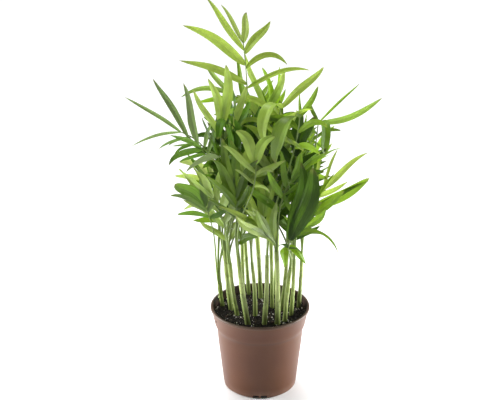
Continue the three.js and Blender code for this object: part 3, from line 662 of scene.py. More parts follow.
class Wiring:
    """A node tree, with a short call for each kind of node that the plant's trees use."""

    def __init__(self, tree):
        self.tree = tree

    def plug(self, socket, value):
        """Links a node or a socket into a socket, or sets a plain value on it."""
        if isinstance(value, bpy.types.Node):
            value = value.outputs[0]
        if isinstance(value, bpy.types.NodeSocket):
            self.tree.links.new(value, socket)
        else:
            socket.default_value = value

    def add(self, kind, inputs=None, **settings):
        """A new node with its settings made and its sockets filled by name or number."""
        node = self.tree.nodes.new(kind)
        for name, value in settings.items():
            setattr(node, name, value)
        for key, value in (inputs or {}).items():
            self.plug(socket_of(node.inputs, key), value)
        return node

    def math(self, operation, a, b=0.0, c=0.0):
        return self.add("ShaderNodeMath", {0: a, 1: b, 2: c}, operation=operation).outputs[0]

    def plus(self, a, b):
        return self.math("ADD", a, b)

    def minus(self, a, b):
        return self.math("SUBTRACT", a, b)

    def times(self, first, *others):
        for other in others:
            first = self.math("MULTIPLY", first, other)
        return first

    def times_plus(self, a, factor, term):
        return self.math("MULTIPLY_ADD", a, factor, term)

    def held(self, value):
        """The value, kept between 0 and 1."""
        return self.add("ShaderNodeClamp", {"Value": value}).outputs[0]

    def ramp(self, value, low, high):
        """0 up to low, 1 from high on, and straight between them."""
        return self.add("ShaderNodeMapRange", {"Value": value, "From Min": low, "From Max": high}).outputs[0]

    def vector(self, operation, a, b=None):
        node = self.add("ShaderNodeVectorMath", {0: a}, operation=operation)
        if b is not None:
            self.plug(node.inputs[1], b)
        return node.outputs[0]

    def scaled(self, vector, factor):
        node = self.add("ShaderNodeVectorMath", {0: vector}, operation="SCALE")
        self.plug(node.inputs["Scale"], factor)
        return node.outputs[0]

    def combined(self, x=0.0, y=0.0, z=0.0):
        return self.add("ShaderNodeCombineXYZ", {0: x, 1: y, 2: z}).outputs[0]

    def parts(self, vector):
        """The x, y and z of a vector."""
        return self.add("ShaderNodeSeparateXYZ", {0: vector}).outputs

    def noise(self, place, scale=1.0, detail=1.0):
        return self.add("ShaderNodeTexNoise", {"Vector": place, "Scale": scale, "Detail": detail})

    def blend(self, factor, a, b):
        return self.add("ShaderNodeMix", {0: factor, 6: a, 7: b}, data_type="RGBA").outputs[2]

    def space(self):
        """In a material: the place on the object, in metres."""
        return self.add("ShaderNodeTexCoord").outputs["Object"]

    def carried(self, name, output="Fac"):
        """In a material: what the piece's attribute of that name holds."""
        return self.add("ShaderNodeAttribute", attribute_name=name).outputs[output]

    def place(self):
        """In a geometry tree: the place of a point."""
        return self.add("GeometryNodeInputPosition").outputs[0]

    def stored(self, name, data_type="FLOAT"):
        """In a geometry tree: what the geometry's attribute of that name holds."""
        node = self.add("GeometryNodeInputNamedAttribute", {"Name": name}, data_type=data_type)
        return node.outputs["Attribute"]

    def store(self, geometry, name, value, **settings):
        inputs = {"Geometry": geometry, "Name": name, "Value": value}
        return self.add("GeometryNodeStoreNamedAttribute", inputs, **settings)

    def finish(self, geometry, material, end, smooth=True):
        """Ends a geometry tree with real faces that have their material."""
        shaded = self.add("GeometryNodeSetShadeSmooth", {"Geometry": geometry, "Shade Smooth": smooth})
        real = self.add("GeometryNodeRealizeInstances", {"Geometry": shaded})
        painted = self.add("GeometryNodeSetMaterial", {"Geometry": real, "Material": material})
        self.plug(end.inputs[0], painted)
        return self.tree


def new_tree(name, inputs, kind="GeometryNodeTree", outputs=(("Geometry", GEOMETRY),)):
    """An empty tree with named inputs (name, socket kind, default) and outputs."""
    tree = bpy.data.node_groups.new(name, kind)
    for label, socket_kind, default in inputs:
        item = tree.interface.new_socket(label, in_out="INPUT", socket_type=socket_kind)
        if default is not None:
            item.default_value = default
    for label, socket_kind in outputs:
        tree.interface.new_socket(label, in_out="OUTPUT", socket_type=socket_kind)
    return Wiring(tree), tree.nodes.new("NodeGroupInput").outputs, tree.nodes.new("NodeGroupOutput")


def new_group(name, inputs, outputs):
    """An empty shader group: Colour is a colour, and every other output is a number."""
    kinds = [(label, COLOUR if label == "Colour" else NUMBER) for label in outputs]
    return new_tree(name, inputs, "ShaderNodeTree", kinds)


# ---------------------------------------------------------------- meshes and pieces
def new_object(name, mesh):
    piece = bpy.data.objects.new(name, mesh)
    bpy.context.scene.collection.objects.link(piece)
    return piece


def faced_piece(name, places, faces):
    """A piece from corners, in millimetres, and faces."""
    mesh = bpy.data.meshes.new(name)
    mesh.from_pydata([(x * MM, y * MM, z * MM) for x, y, z in places], [], faces)
    return new_object(name, mesh)


def evaluated_mesh(piece):
    bpy.context.view_layer.update()
    depsgraph = bpy.context.evaluated_depsgraph_get()
    return bpy.data.meshes.new_from_object(piece.evaluated_get(depsgraph), depsgraph=depsgraph)


def kept_mesh(piece):
    """Applies a piece's modifiers and gives its mesh."""
    mesh = evaluated_mesh(piece)
    old = piece.data
    piece.modifiers.clear()
    piece.data = mesh
    bpy.data.meshes.remove(old)
    mesh.name = piece.name
    return mesh


def joined(name, parts):
    """Several mesh objects as one, keeping their materials and attributes."""
    bpy.ops.object.select_all(action="DESELECT")
    for part in parts:
        part.select_set(True)
    bpy.context.view_layer.objects.active = parts[0]
    bpy.ops.object.join()
    parts[0].name = name
    parts[0].data.name = name
    return parts[0]


def grow_mesh(name, base, tree, values):
    """Runs a geometry tree on a base mesh and keeps the outcome as a plain mesh object."""
    guide = new_object(name + "_guide", base)
    modifier = guide.modifiers.new("grow", "NODES")
    modifier.node_group = tree
    identifiers = {
        item.name: item.identifier
        for item in tree.interface.items_tree
        if item.item_type == "SOCKET" and item.in_out == "INPUT"
    }
    for label, value in values.items():
        modifier[identifiers[label]] = value
    mesh = evaluated_mesh(guide)
    guide.modifiers.remove(modifier)
    bpy.data.objects.remove(guide)
    bpy.data.meshes.remove(base)
    mesh.name = name
    return new_object(name, mesh)


def guide_mesh(name, lines):
    """Lines of points, in millimetres, as an edge mesh whose points hold the named values."""
    places, edges = [], []
    for line in lines:
        first = len(places)
        places += [tuple(p * MM) for p in line["points"]]
        edges += [(first + i, first + i + 1) for i in range(len(line["points"]) - 1)]
    mesh = bpy.data.meshes.new(name)
    mesh.from_pydata(places, edges, [])
    for key in lines[0]["values"]:
        values = [v for line in lines for v in line["values"][key]]
        if isinstance(values[0], (int, float)):
            layer = mesh.attributes.new(key, "FLOAT", "POINT")
            layer.data.foreach_set("value", values)
        else:
            layer = mesh.attributes.new(key, "FLOAT_VECTOR", "POINT")
            layer.data.foreach_set("vector", np.array([tuple(v) for v in values]).ravel())
    return mesh


def seat(piece, nodes=()):
    """The piece rides with the plant and stands for its nodes."""
    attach(piece, "root")
    if nodes:
        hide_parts(*nodes)
    return piece


# ---------------------------------------------------------------- geometry trees
# root: a blade's width at its root. ripples, sways: waves along a blade, and how far they shift from
# one blade to the next. slant: how far a ripple slants. merge: corners this close become one.
BLADE = {
    "root": 0.018, "ripples": 9.0, "ripple_shift": 40.0, "slant": 0.9, "sways": 3.6, "sway_shift": 16.0,
    "merge": 2e-6,
}
STALK = {"lumps": 60.0, "cut_power": 5.0}
CRUMB = {"clumps": 55.0, "clump_edge": (0.44, 0.58), "lumps": 900.0, "size_power": 2.0, "size_seed": 7.0}


def blade_tree():
    """Each guide line becomes a blade: its outline, a fold on the midrib, pleats and edge waves."""
    w, given, end = new_tree("blades", [
        ("Geometry", GEOMETRY, None),
        ("Steps Along", COUNT, 20),
        ("Steps Across", COUNT, 16),
        ("Root Power", NUMBER, 0.55),
        ("Fold", NUMBER, 0.3),
        ("Pleats", NUMBER, 3.0),
        ("Pleat Depth", NUMBER, 0.02),
        ("Ripple", NUMBER, 0.08),
        ("Sway", NUMBER, 0.0),
        ("Material", MATERIAL, None),
    ])
    spine = w.add("GeometryNodeMeshToCurve", {"Mesh": given["Geometry"]})
    spine = w.add("GeometryNodeCurveSplineType", {"Curve": spine}, spline_type="CATMULL_ROM")
    count = w.plus(given["Steps Along"], 1.0)
    spine = w.add("GeometryNodeResampleCurve", {"Curve": spine, "Count": count})
    spine = w.store(spine, "spine", w.place(), data_type="FLOAT_VECTOR")
    line = w.add("GeometryNodeCurvePrimitiveLine", {"Start": (-1, 0, 0), "End": (1, 0, 0)})
    count = w.plus(given["Steps Across"], 1.0)
    line = w.add("GeometryNodeResampleCurve", {"Curve": line, "Count": count})
    line = w.store(line, "across", w.parts(w.place())[0])
    mesh = w.add("GeometryNodeCurveToMesh", {"Curve": spine, "Profile Curve": line})

    side = w.stored("across")
    along = w.stored("along")
    seed = w.stored("seed")
    widest = w.stored("half_width")
    normal = w.vector("NORMALIZE", w.stored("blade_normal", "FLOAT_VECTOR"))
    right = w.vector("CROSS_PRODUCT", w.stored("heading", "FLOAT_VECTOR"), normal)
    right = w.vector("NORMALIZE", right)

    root = w.math("POWER", w.plus(along, BLADE["root"]), given["Root Power"])
    left_over = w.math("MAXIMUM", w.minus(1.0, along), 0.0)
    half = w.times(root, w.math("POWER", left_over, w.stored("tip_power")), widest)

    slope = w.times(w.math("ABSOLUTE", side), w.math("SINE", given["Fold"]))
    pleat = w.times(w.math("COSINE", w.times(side, given["Pleats"], ROUND)), given["Pleat Depth"])
    turn = w.times_plus(along, BLADE["ripples"], w.times(seed, BLADE["ripple_shift"]))
    turn = w.times_plus(side, BLADE["slant"], turn)
    ripple = w.times(w.math("SINE", turn), w.times(side, side), given["Ripple"])
    height = w.times(w.plus(w.minus(pleat, slope), ripple), half)

    sway = w.times_plus(along, BLADE["sways"], w.times(seed, BLADE["sway_shift"]))
    sway = w.times(w.math("SINE", sway), w.times(along, along), widest, given["Sway"])
    reach = w.plus(w.times(side, half, w.math("COSINE", given["Fold"])), sway)
    place = w.vector("ADD", w.stored("spine", "FLOAT_VECTOR"), w.scaled(right, reach))
    place = w.vector("ADD", place, w.scaled(normal, height))
    mesh = w.add("GeometryNodeSetPosition", {"Geometry": mesh, "Position": place})
    map_place = w.combined(w.times_plus(side, 0.5, 0.5), along)
    mesh = w.store(mesh, "UVMap", map_place, data_type="FLOAT2", domain="CORNER")
    mesh = w.add("GeometryNodeMergeByDistance", {"Geometry": mesh, "Distance": BLADE["merge"]})
    return w.finish(mesh, given["Material"], end)


def stalk_tree():
    """Each guide line becomes a ribbed stalk; a cut slants its top end like an opening sheath."""
    w, given, end = new_tree("stalks", [
        ("Geometry", GEOMETRY, None),
        ("Sides", COUNT, 12),
        ("Ridges", NUMBER, 5.0),
        ("Ridge Depth", NUMBER, 0.0001),
        ("Swelling", NUMBER, 0.0001),
        ("Closed Ends", SWITCH, True),
        ("Material", MATERIAL, None),
    ])
    curves = w.add("GeometryNodeMeshToCurve", {"Mesh": given["Geometry"]})
    circle = w.add("GeometryNodeCurvePrimitiveCircle", {"Resolution": given["Sides"], "Radius": 1.0})
    circle = w.store(circle, "around", w.add("GeometryNodeSplineParameter"))
    mesh = w.add("GeometryNodeCurveToMesh", {
        "Curve": curves, "Profile Curve": circle, "Scale": w.stored("radius"),
        "Fill Caps": given["Closed Ends"],
    })
    around = w.times(w.stored("around"), ROUND)
    ridges = w.times(w.math("COSINE", w.times(around, given["Ridges"])), given["Ridge Depth"])
    lumps = w.noise(w.scaled(w.place(), STALK["lumps"]))
    swelling = w.times(w.minus(lumps, 0.5), given["Swelling"])
    out = w.scaled(w.add("GeometryNodeInputNormal"), w.plus(ridges, swelling))
    facing = w.math("COSINE", w.plus(around, w.stored("turn")))
    shear = w.times(w.times_plus(facing, -0.5, 0.5), w.math("POWER", w.stored("along"), STALK["cut_power"]))
    shear = w.times(shear, w.times(w.stored("cut"), -1.0))
    down = w.scaled(w.stored("heading", "FLOAT_VECTOR"), shear)
    mesh = w.add("GeometryNodeSetPosition", {"Geometry": mesh, "Offset": w.vector("ADD", out, down)})
    grain = w.combined(w.math("COSINE", around), w.math("SINE", around), w.stored("length"))
    mesh = w.store(mesh, "grain", grain, data_type="FLOAT_VECTOR")
    return w.finish(mesh, given["Material"], end)


def crumb_tree():
    """Rough lumps strewn over a surface."""
    w, given, end = new_tree("crumbs", [
        ("Geometry", GEOMETRY, None),
        ("Number", NUMBER, 200000.0),
        ("Clumping", NUMBER, 0.0),
        ("Seed", COUNT, 0),
        ("Smallest", NUMBER, 0.0005),
        ("Largest", NUMBER, 0.0015),
        ("Shape", VECTOR, (1.0, 1.0, 0.8)),
        ("Tumble", NUMBER, 3.14),
        ("Roughness", NUMBER, 0.001),
        ("Sunk", NUMBER, 0.0),
        ("Facets", COUNT, 1),
        ("Material", MATERIAL, None),
    ])
    clumps = w.ramp(w.noise(w.scaled(w.place(), CRUMB["clumps"])), *CRUMB["clump_edge"])
    thick = w.add("ShaderNodeMix", {0: given["Clumping"], 2: 1.0, 3: clumps}, data_type="FLOAT")
    points = w.add("GeometryNodeDistributePointsOnFaces", {
        "Mesh": given["Geometry"], "Density": w.times(given["Number"], thick), "Seed": given["Seed"],
    })
    lump = w.add("GeometryNodeMeshIcoSphere", {"Radius": 1.0, "Subdivisions": given["Facets"]})
    tumble = w.combined(given["Tumble"], given["Tumble"], math.pi)
    limits = {"Min": w.scaled(tumble, -1.0), "Max": tumble, "Seed": given["Seed"]}
    turn = w.add("FunctionNodeRandomValue", limits, data_type="FLOAT_VECTOR")
    turn = w.add("FunctionNodeEulerToRotation", {"Euler": turn})
    limits = {"Min": 0.0, "Max": 1.0, "Seed": w.plus(given["Seed"], CRUMB["size_seed"])}
    share = w.add("FunctionNodeRandomValue", limits, data_type="FLOAT")
    share = w.math("POWER", socket_of(share.outputs, "Value"), CRUMB["size_power"])
    size = w.times_plus(share, w.minus(given["Largest"], given["Smallest"]), given["Smallest"])
    lumps = w.add("GeometryNodeInstanceOnPoints", {
        "Points": points, "Instance": lump, "Rotation": turn, "Scale": w.scaled(given["Shape"], size),
    })
    real = w.add("GeometryNodeRealizeInstances", {"Geometry": lumps})
    dents = w.noise(w.scaled(w.place(), CRUMB["lumps"]))
    push = w.vector("SUBTRACT", dents.outputs["Color"], (0.5, 0.5, 0.5))
    down = w.combined(z=w.times(given["Sunk"], -1.0))
    offset = w.vector("ADD", w.scaled(push, given["Roughness"]), down)
    mesh = w.add("GeometryNodeSetPosition", {"Geometry": real, "Offset": offset})
    return w.finish(mesh, given["Material"], end, smooth=False)


# ---------------------------------------------------------------- shared shader effects
CREASE_EVERY = 0.031  # metres along a stalk
# Where a colour sets in and where it is full: along a blade, or in metres over the ground.
TIP_DULLS = (0.9, 1.0)
# Painted shade: low on a stalk, where the pot and the soil shade it.
PAINTED_FOOT_SHADE = (0.165, 0.105)
TOP_GREENS = (0.15, 0.21)
DUST_SETTLES = (0.012, 0.0)
# The rim's top is greyer and darker.
RIM_GREYS = (0.104, 0.1068)
# Painted shade in the groove under the band's step.
BAND_SHADE_REACH = (0.0026, 0.0008)  # this far from the groove under the band


def veins_group():
    """Fine veins that run along a blade, a paler midrib and a dull tip, from the blade's own map, with the
    leaflet's tint (partly painted light and shade) and a painted grey sheen.
    """
    w, given, end = new_group("blade_veins", [
        ("Leaf", COLOUR, (0.1, 0.3, 0.05, 1)),
        ("Vein", COLOUR, (0.3, 0.5, 0.1, 1)),
        ("Tip", COLOUR, (0.3, 0.25, 0.1, 1)),
        ("Vein Count", NUMBER, 9.0),
        ("Vein Strength", NUMBER, 0.3),
    ], ["Colour", "Height"])
    across, along, _ = w.parts(w.add("ShaderNodeUVMap", uv_map="UVMap"))
    space = w.space()
    clouds = w.noise(space, scale=55.0, detail=3.0)
    streak = w.combined(w.times(across, 34.0), w.times(along, 1.6))
    fine = w.noise(w.vector("ADD", streak, w.scaled(space, 8.0)), detail=2.0)
    aside = w.minus(across, 0.5)
    ridge = w.math("COSINE", w.times(aside, given["Vein Count"], ROUND))
    ridge = w.math("POWER", w.times_plus(ridge, 0.5, 0.5), 4.0)
    rib = w.held(w.minus(1.0, w.times(w.math("ABSOLUTE", aside), 22.0)))
    mark = w.times(ridge, fine, given["Vein Strength"])
    mark = w.held(w.plus(mark, w.times(rib, given["Vein Strength"])))
    colour = w.blend(mark, given["Leaf"], given["Vein"])
    shade = w.times_plus(clouds, 0.9, w.times_plus(fine, 0.5, 0.3))
    # The carried tint is partly the leaf's own tone and partly painted light and shade.
    colour = w.scaled(colour, w.times(shade, w.carried("tint")))
    # Painted sheen: a grey-white highlight blended into the colour.
    colour = w.blend(w.carried("bloom"), colour, srgb("a2a488"))
    dull = w.times(w.ramp(along, *TIP_DULLS), 0.55)
    w.plug(end.inputs["Colour"], w.blend(dull, colour, given["Tip"]))
    w.plug(end.inputs["Height"], w.plus(ridge, w.times(fine, 1.5)))
    return w.tree


def streaks_group():
    """Long streaks along a stalk, slanting creases, spots, a greener, darker top, and painted shade that
    makes the foot greener and darker.
    """
    w, given, end = new_group("stalk_streaks", [
        ("Pale", COLOUR, (0.5, 0.6, 0.3, 1)),
        ("Dark", COLOUR, (0.2, 0.4, 0.1, 1)),
        ("Foot", COLOUR, (0.1, 0.2, 0.05, 1)),
        ("Spot", COLOUR, (0.2, 0.12, 0.05, 1)),
        ("Fineness", NUMBER, 3.0),
        ("Spots", NUMBER, 0.2),
        ("Creases", NUMBER, 0.5),
    ], ["Colour", "Height"])
    grain = w.carried("grain", "Vector")
    space = w.space()
    long = w.scaled(w.vector("MULTIPLY", grain, (1.0, 1.0, 14.0)), given["Fineness"])
    streak = w.noise(w.vector("ADD", long, w.scaled(space, 12.0)), detail=3.0)
    streak = w.ramp(streak, 0.32, 0.68)
    colour = w.blend(streak, given["Dark"], given["Pale"])
    wander = w.noise(space, scale=34.0)
    height = w.times_plus(w.minus(wander, 0.5), 0.09, w.parts(space)[2])
    # Painted shade: low down, where the pot and the soil shade a stalk, the colour goes to the darker foot
    # colour.
    foot = w.times(w.ramp(height, *PAINTED_FOOT_SHADE), 0.5)
    colour = w.blend(foot, colour, given["Foot"])
    top = w.times(w.ramp(height, *TOP_GREENS), 0.6)
    colour = w.blend(top, colour, given["Dark"])
    side, _, length = w.parts(grain)
    slant = w.times_plus(wander, 0.05, w.times_plus(side, 0.0035, length))
    crease = w.math("COSINE", w.times(slant, ROUND / CREASE_EVERY))
    crease = w.times(w.ramp(crease, 0.97, 1.0), given["Creases"])
    speck = w.times(w.ramp(w.noise(space, scale=260.0, detail=2.0), 0.66, 0.72), given["Spots"])
    colour = w.scaled(colour, w.carried("tint"))
    w.plug(end.inputs["Colour"], w.blend(w.math("MAXIMUM", speck, crease), colour, given["Spot"]))
    w.plug(end.inputs["Height"], w.minus(streak, crease))
    return w.tree


def grit_group():
    """A mottled colour with a fine grain, for earthy and moulded surfaces."""
    w, given, end = new_group("grit", [
        ("First", COLOUR, (0.02, 0.015, 0.01, 1)),
        ("Second", COLOUR, (0.06, 0.04, 0.03, 1)),
        ("Patch Size", NUMBER, 200.0),
        ("Grain Size", NUMBER, 1500.0),
        ("Grain", NUMBER, 0.5),
    ], ["Colour", "Height", "Patches"])
    space = w.space()
    patches = w.ramp(w.noise(space, given["Patch Size"], detail=4.0), 0.35, 0.65)
    grain = w.noise(space, given["Grain Size"], detail=2.0)
    colour = w.blend(patches, given["First"], given["Second"])
    light = w.times_plus(w.minus(grain, 0.5), given["Grain"], 1.0)
    w.plug(end.inputs["Colour"], w.scaled(colour, light))
    w.plug(end.inputs["Height"], grain)
    w.plug(end.inputs["Patches"], patches)
    return w.tree


# ---------------------------------------------------------------- materials
def new_material(name):
    material = bpy.data.materials.new(name)
    material.use_nodes = True
    w = Wiring(material.node_tree)
    surface = next(n for n in w.tree.nodes if n.type == "BSDF_PRINCIPLED")
    return material, w, surface


def marked(w, surface, group, **values):
    """Places a shared effect; its colours are written as codes, and it colours the surface."""
    node = w.add("ShaderNodeGroup", node_tree=group)
    for name, value in values.items():
        node.inputs[name.replace("_", " ")].default_value = srgb(value) if isinstance(value, str) else value
    coloured = "Base Color" if "Base Color" in surface.inputs else "Color"
    w.plug(surface.inputs[coloured], node.outputs["Colour"])
    return node


def bump(w, surface, height, distance, strength):
    node = w.add("ShaderNodeBump", {"Height": height, "Strength": strength, "Distance": distance})
    w.plug(surface.inputs["Normal"], node)


def set_inputs(surface, **values):
    for name, value in values.items():
        surface.inputs[name.replace("_", " ")].default_value = value


def leaf_material(name, veins, leaf, vein, through, sheen):
    """A thin living leaf: a satin skin that also lets light through in a yellower green."""
    material, w, surface = new_material(name)
    marks = marked(w, surface, veins, Leaf=leaf, Vein=vein, Tip="6f6a3c", Vein_Count=9.0, Vein_Strength=0.42)
    set_inputs(surface, Roughness=0.4, IOR=1.5, Specular_IOR_Level=sheen)
    bump(w, surface, marks.outputs["Height"], distance=0.00012, strength=0.5)
    glow = w.add("ShaderNodeBsdfTranslucent")
    marked(w, glow, veins, Leaf=through, Vein=vein, Tip="8a7f45", Vein_Count=9.0, Vein_Strength=0.15)
    both = w.add("ShaderNodeMixShader", {0: 0.38, 1: surface, 2: glow})
    out = next(n for n in w.tree.nodes if n.type == "OUTPUT_MATERIAL")
    w.plug(out.inputs["Surface"], both)
    return material


def stalk_material(name, streaks, pale, dark, foot, spots=0.4, creases=0.0, gloss=0.45):
    """Green, fibrous, slightly glassy skin."""
    material, w, surface = new_material(name)
    marks = marked(w, surface, streaks, Pale=pale, Dark=dark, Foot=foot, Spot="3f3220", Fineness=2.5,
                   Spots=spots, Creases=creases)
    set_inputs(surface, Roughness=gloss, Specular_IOR_Level=0.3, Subsurface_Weight=0.15,
                Subsurface_Radius=(0.6, 1.0, 0.3), Subsurface_Scale=0.001)
    bump(w, surface, marks.outputs["Height"], distance=0.00015, strength=0.6)
    return material


def earth_material(name, grit, first, second, patch=220.0, grain_size=1600.0, grain=0.8, rough=0.95):
    """Dull, crumbly and mottled."""
    material, w, surface = new_material(name)
    marks = marked(w, surface, grit, First=first, Second=second, Patch_Size=patch, Grain_Size=grain_size,
                   Grain=grain)
    set_inputs(surface, Roughness=rough)
    bump(w, surface, marks.outputs["Height"], distance=0.0004, strength=0.8)
    return material


def plastic_material(grit):
    """Brown moulded plastic with a faint grain, dust at the foot, a greyer and darker rim top, and painted
    shade in the groove under the band.
    """
    material, w, surface = new_material("pot_plastic")
    marks = marked(w, surface, grit, First="532f1b", Second="5c3822", Patch_Size=14.0, Grain_Size=900.0,
                   Grain=0.08)
    space = w.space()
    height = w.parts(space)[2]
    smudge = w.noise(space, scale=70.0, detail=4.0)
    dust = w.times(w.ramp(height, *DUST_SETTLES), smudge, 0.5)
    colour = w.blend(dust, marks.outputs["Colour"], srgb("a08572"))
    # The top of the rim goes greyer and darker.
    rim_grey = w.times(w.ramp(height, *RIM_GREYS), 0.65)
    colour = w.blend(rim_grey, colour, srgb("52483f"))
    # Painted shade: a dark line in the groove under the band's step.
    away = w.math("ABSOLUTE", w.minus(height, (POT["body_top"] + 1.8) * MM))
    band_shade = w.times(w.ramp(away, *BAND_SHADE_REACH), 0.2)
    w.plug(surface.inputs["Base Color"], w.blend(band_shade, colour, srgb("2c1a12")))
    w.plug(surface.inputs["Roughness"], w.times_plus(marks.outputs["Patches"], 0.08, 0.4))
    set_inputs(surface, Specular_IOR_Level=0.33)
    bump(w, surface, marks.outputs["Height"], distance=0.00004, strength=0.5)
    return material


def floor_material():
    material, _, surface = new_material("studio_floor")
    set_inputs(surface, Base_Color=(0.9, 0.9, 0.9, 1), Roughness=0.9)
    return material


def make_materials():
    """Every finish by name, and the leaves' by slot and shade."""
    veins, streaks, grit = veins_group(), streaks_group(), grit_group()
    materials = {
        (slot, shade): leaf_material(f"{slot}_{shade + 1}", veins, *codes)
        for slot, shades in GREENS.items()
        for shade, codes in enumerate(shades)
    }
    skins = {
        # Each skin: its name, pale and dark streaks, the foot's colour, which is painted shade, and more.
        "stem": ("stem_skin", "b2c268", "6c8232", "62742e", {"creases": 0.35}),
        "sheath": ("sheath_skin", "bac680", "7e9446", "687c38", {"spots": 0.5, "creases": 0.3}),
        "petiole": ("petiole_skin", "8ea24e", "586e2e", "5e7034", {"spots": 0.15}),
        "scale": ("dry_scale", "c2b08c", "8a7450", "6a5a3c", {"gloss": 0.8}),
    }
    for kind, (name, pale, dark, foot, more) in skins.items():
        materials[kind] = stalk_material(name, streaks, pale, dark, foot, **more)
    earths = {
        "peat": ("peat", "0d0a07", "1d1610", {}),
        "crumb": ("peat_crumbs", "100c09", "261b13", {"patch": 320.0}),
        "bark": ("bark", "2a1d14", "4e3826", {"patch": 400.0}),
        "fibre": ("root_fibre", "3c3420", "6a5d40", {"patch": 300.0}),
        "perlite": ("perlite", "d8d4c8", "f2efe6", {"patch": 300.0, "grain": 0.3}),
        # The pot's inside: soil stains, and painted shade that makes it darker than the outside.
        "stain_and_shade": ("pot_inside", "1b1610", "4a3226", {"patch": 60.0, "grain": 0.4, "rough": 0.8}),
    }
    for kind, (name, first, second, more) in earths.items():
        materials[kind] = earth_material(name, grit, first, second, **more)
    materials["plastic"] = plastic_material(grit)
    return materials


# ---------------------------------------------------------------- pot
def arc(centre, radius, first, last, steps=5):
    """Points on an arc of a profile, (radius, height), from one angle to another in degrees."""
    angles = [math.radians(first + (last - first) * i / steps) for i in range(steps + 1)]
    return [(centre[0] + radius * math.cos(a), centre[1] + radius * math.sin(a)) for a in angles]


def pot_profile():
    """Half the pot's section, from the middle of its underside round the rim to its floor inside."""
    foot, turn, wall, floor = POT["foot"], POT["foot_round"], POT["wall"], POT["floor"]
    body, body_top = POT["body_top_radius"], POT["body_top"]
    band, band_foot = POT["band_foot_radius"], POT["band_foot"]
    rim, lip, roll = POT["rim"], POT["lip"], POT["height"] - POT["lip"]
    rim_foot = POT["height"] - POT["lip_depth"]
    underside = [(0, 0.5), (20, 0.5), (20.8, 0.2), (22, 0.5), (33.5, 0.5), (34.5, 0)]
    body_side = [(body - 1.6, 60), (body - 0.45, body_top - 4.5), (body - 0.05, body_top - 1.2)]
    shoulder = [
        (body + 0.7, body_top + 1.4), (band - 1.1, body_top + 3.6), (band - 0.2, band_foot + 1.4),
        (band + 0.45, band_foot + 4.4),
    ]
    under_lip = [(rim - 1.35, rim_foot - 0.5), (rim - 1.0, rim_foot + 0.1)]
    inside = [
        (rim - 1.5 - wall, rim_foot - 1), (band - wall, band_foot), (body - wall, body_top + 1),
        (foot - wall, floor + 1), (foot - wall - 1, floor), (0, floor),
    ]
    return [
        *underside, *arc((foot - turn, turn), turn, -90, -6), *body_side, *shoulder, *under_lip,
        *arc((rim - lip, rim_foot + 1.1), lip, -50, 0, 3), *arc((rim - lip, roll), lip, 0, 90, 5),
        *arc((rim - 2 * lip, roll), lip, 90, 165, 4), *inside,
    ]


def lathe(name, profile, sides):
    """A closed skin turned about the Z axis from a profile that starts and ends on it."""
    places = [(0, 0, profile[0][1])]
    for radius, height in profile[1:-1]:
        for k in range(sides):
            angle = 2 * math.pi * k / sides
            places.append((radius * math.cos(angle), radius * math.sin(angle), height))
    places.append((0, 0, profile[-1][1]))
    last = len(places) - 1
    rings = len(profile) - 2
    faces = []
    for k in range(sides):
        near, far = 1 + k, 1 + (k + 1) % sides
        faces.append((0, far, near))
        for r in range(rings - 1):
            low, high = r * sides, (r + 1) * sides
            faces.append((near + low, far + low, far + high, near + high))
        top = (rings - 1) * sides
        faces.append((last, near + top, far + top))
    return faced_piece(name, places, faces)


def box(name, low, high, angle):
    """A box between two corners, in millimetres, turned about the Z axis."""
    corners = [(x, y, z) for z in (low[2], high[2]) for y in (low[1], high[1]) for x in (low[0], high[0])]
    c, s = math.cos(angle), math.sin(angle)
    places = [(x * c - y * s, x * s + y * c, z) for x, y, z in corners]
    faces = [(0, 2, 3, 1), (4, 5, 7, 6), (0, 1, 5, 4), (2, 6, 7, 3), (0, 4, 6, 2), (1, 3, 7, 5)]
    return faced_piece(name, places, faces)


def drain_cutters():
    """Each notch is two halves with a web left between them."""
    half = (DRAIN["width"] - DRAIN["web"]) / 2
    cutters = []
    for i in range(DRAIN["count"]):
        angle = -math.pi / 2 + 2 * math.pi * i / DRAIN["count"]
        for start in (-DRAIN["width"] / 2, DRAIN["web"] / 2):
            low = (DRAIN["inner"], start, -DRAIN["height"])
            high = (POT["foot"] + 5, start + half, DRAIN["height"])
            cutters.append(box("drain", low, high, angle))
    return joined("drains", cutters)


def make_pot(plastic, stain_and_shade):
    pot = lathe("pot_shell", pot_profile(), POT["sides"])
    cutter = drain_cutters()
    notch = pot.modifiers.new("notch", "BOOLEAN")
    notch.object = cutter
    notch.operation = "DIFFERENCE"
    notch.solver = "EXACT"
    mesh = kept_mesh(pot)
    bpy.data.objects.remove(cutter)
    mesh.materials.clear()
    mesh.materials.append(plastic)
    mesh.materials.append(stain_and_shade)
    # Inward faces high in the pot take the inside finish: stains with painted shade.
    for face in mesh.polygons:
        inward = face.normal.x * face.center.x + face.normal.y * face.center.y < -0.0004
        if inward and face.center.z > POT["band_foot"] * MM * 0.5:
            face.material_index = 1
    mesh.shade_smooth()
    mesh.set_sharp_from_angle(angle=math.radians(38))
    return seat(pot, ["pot"])


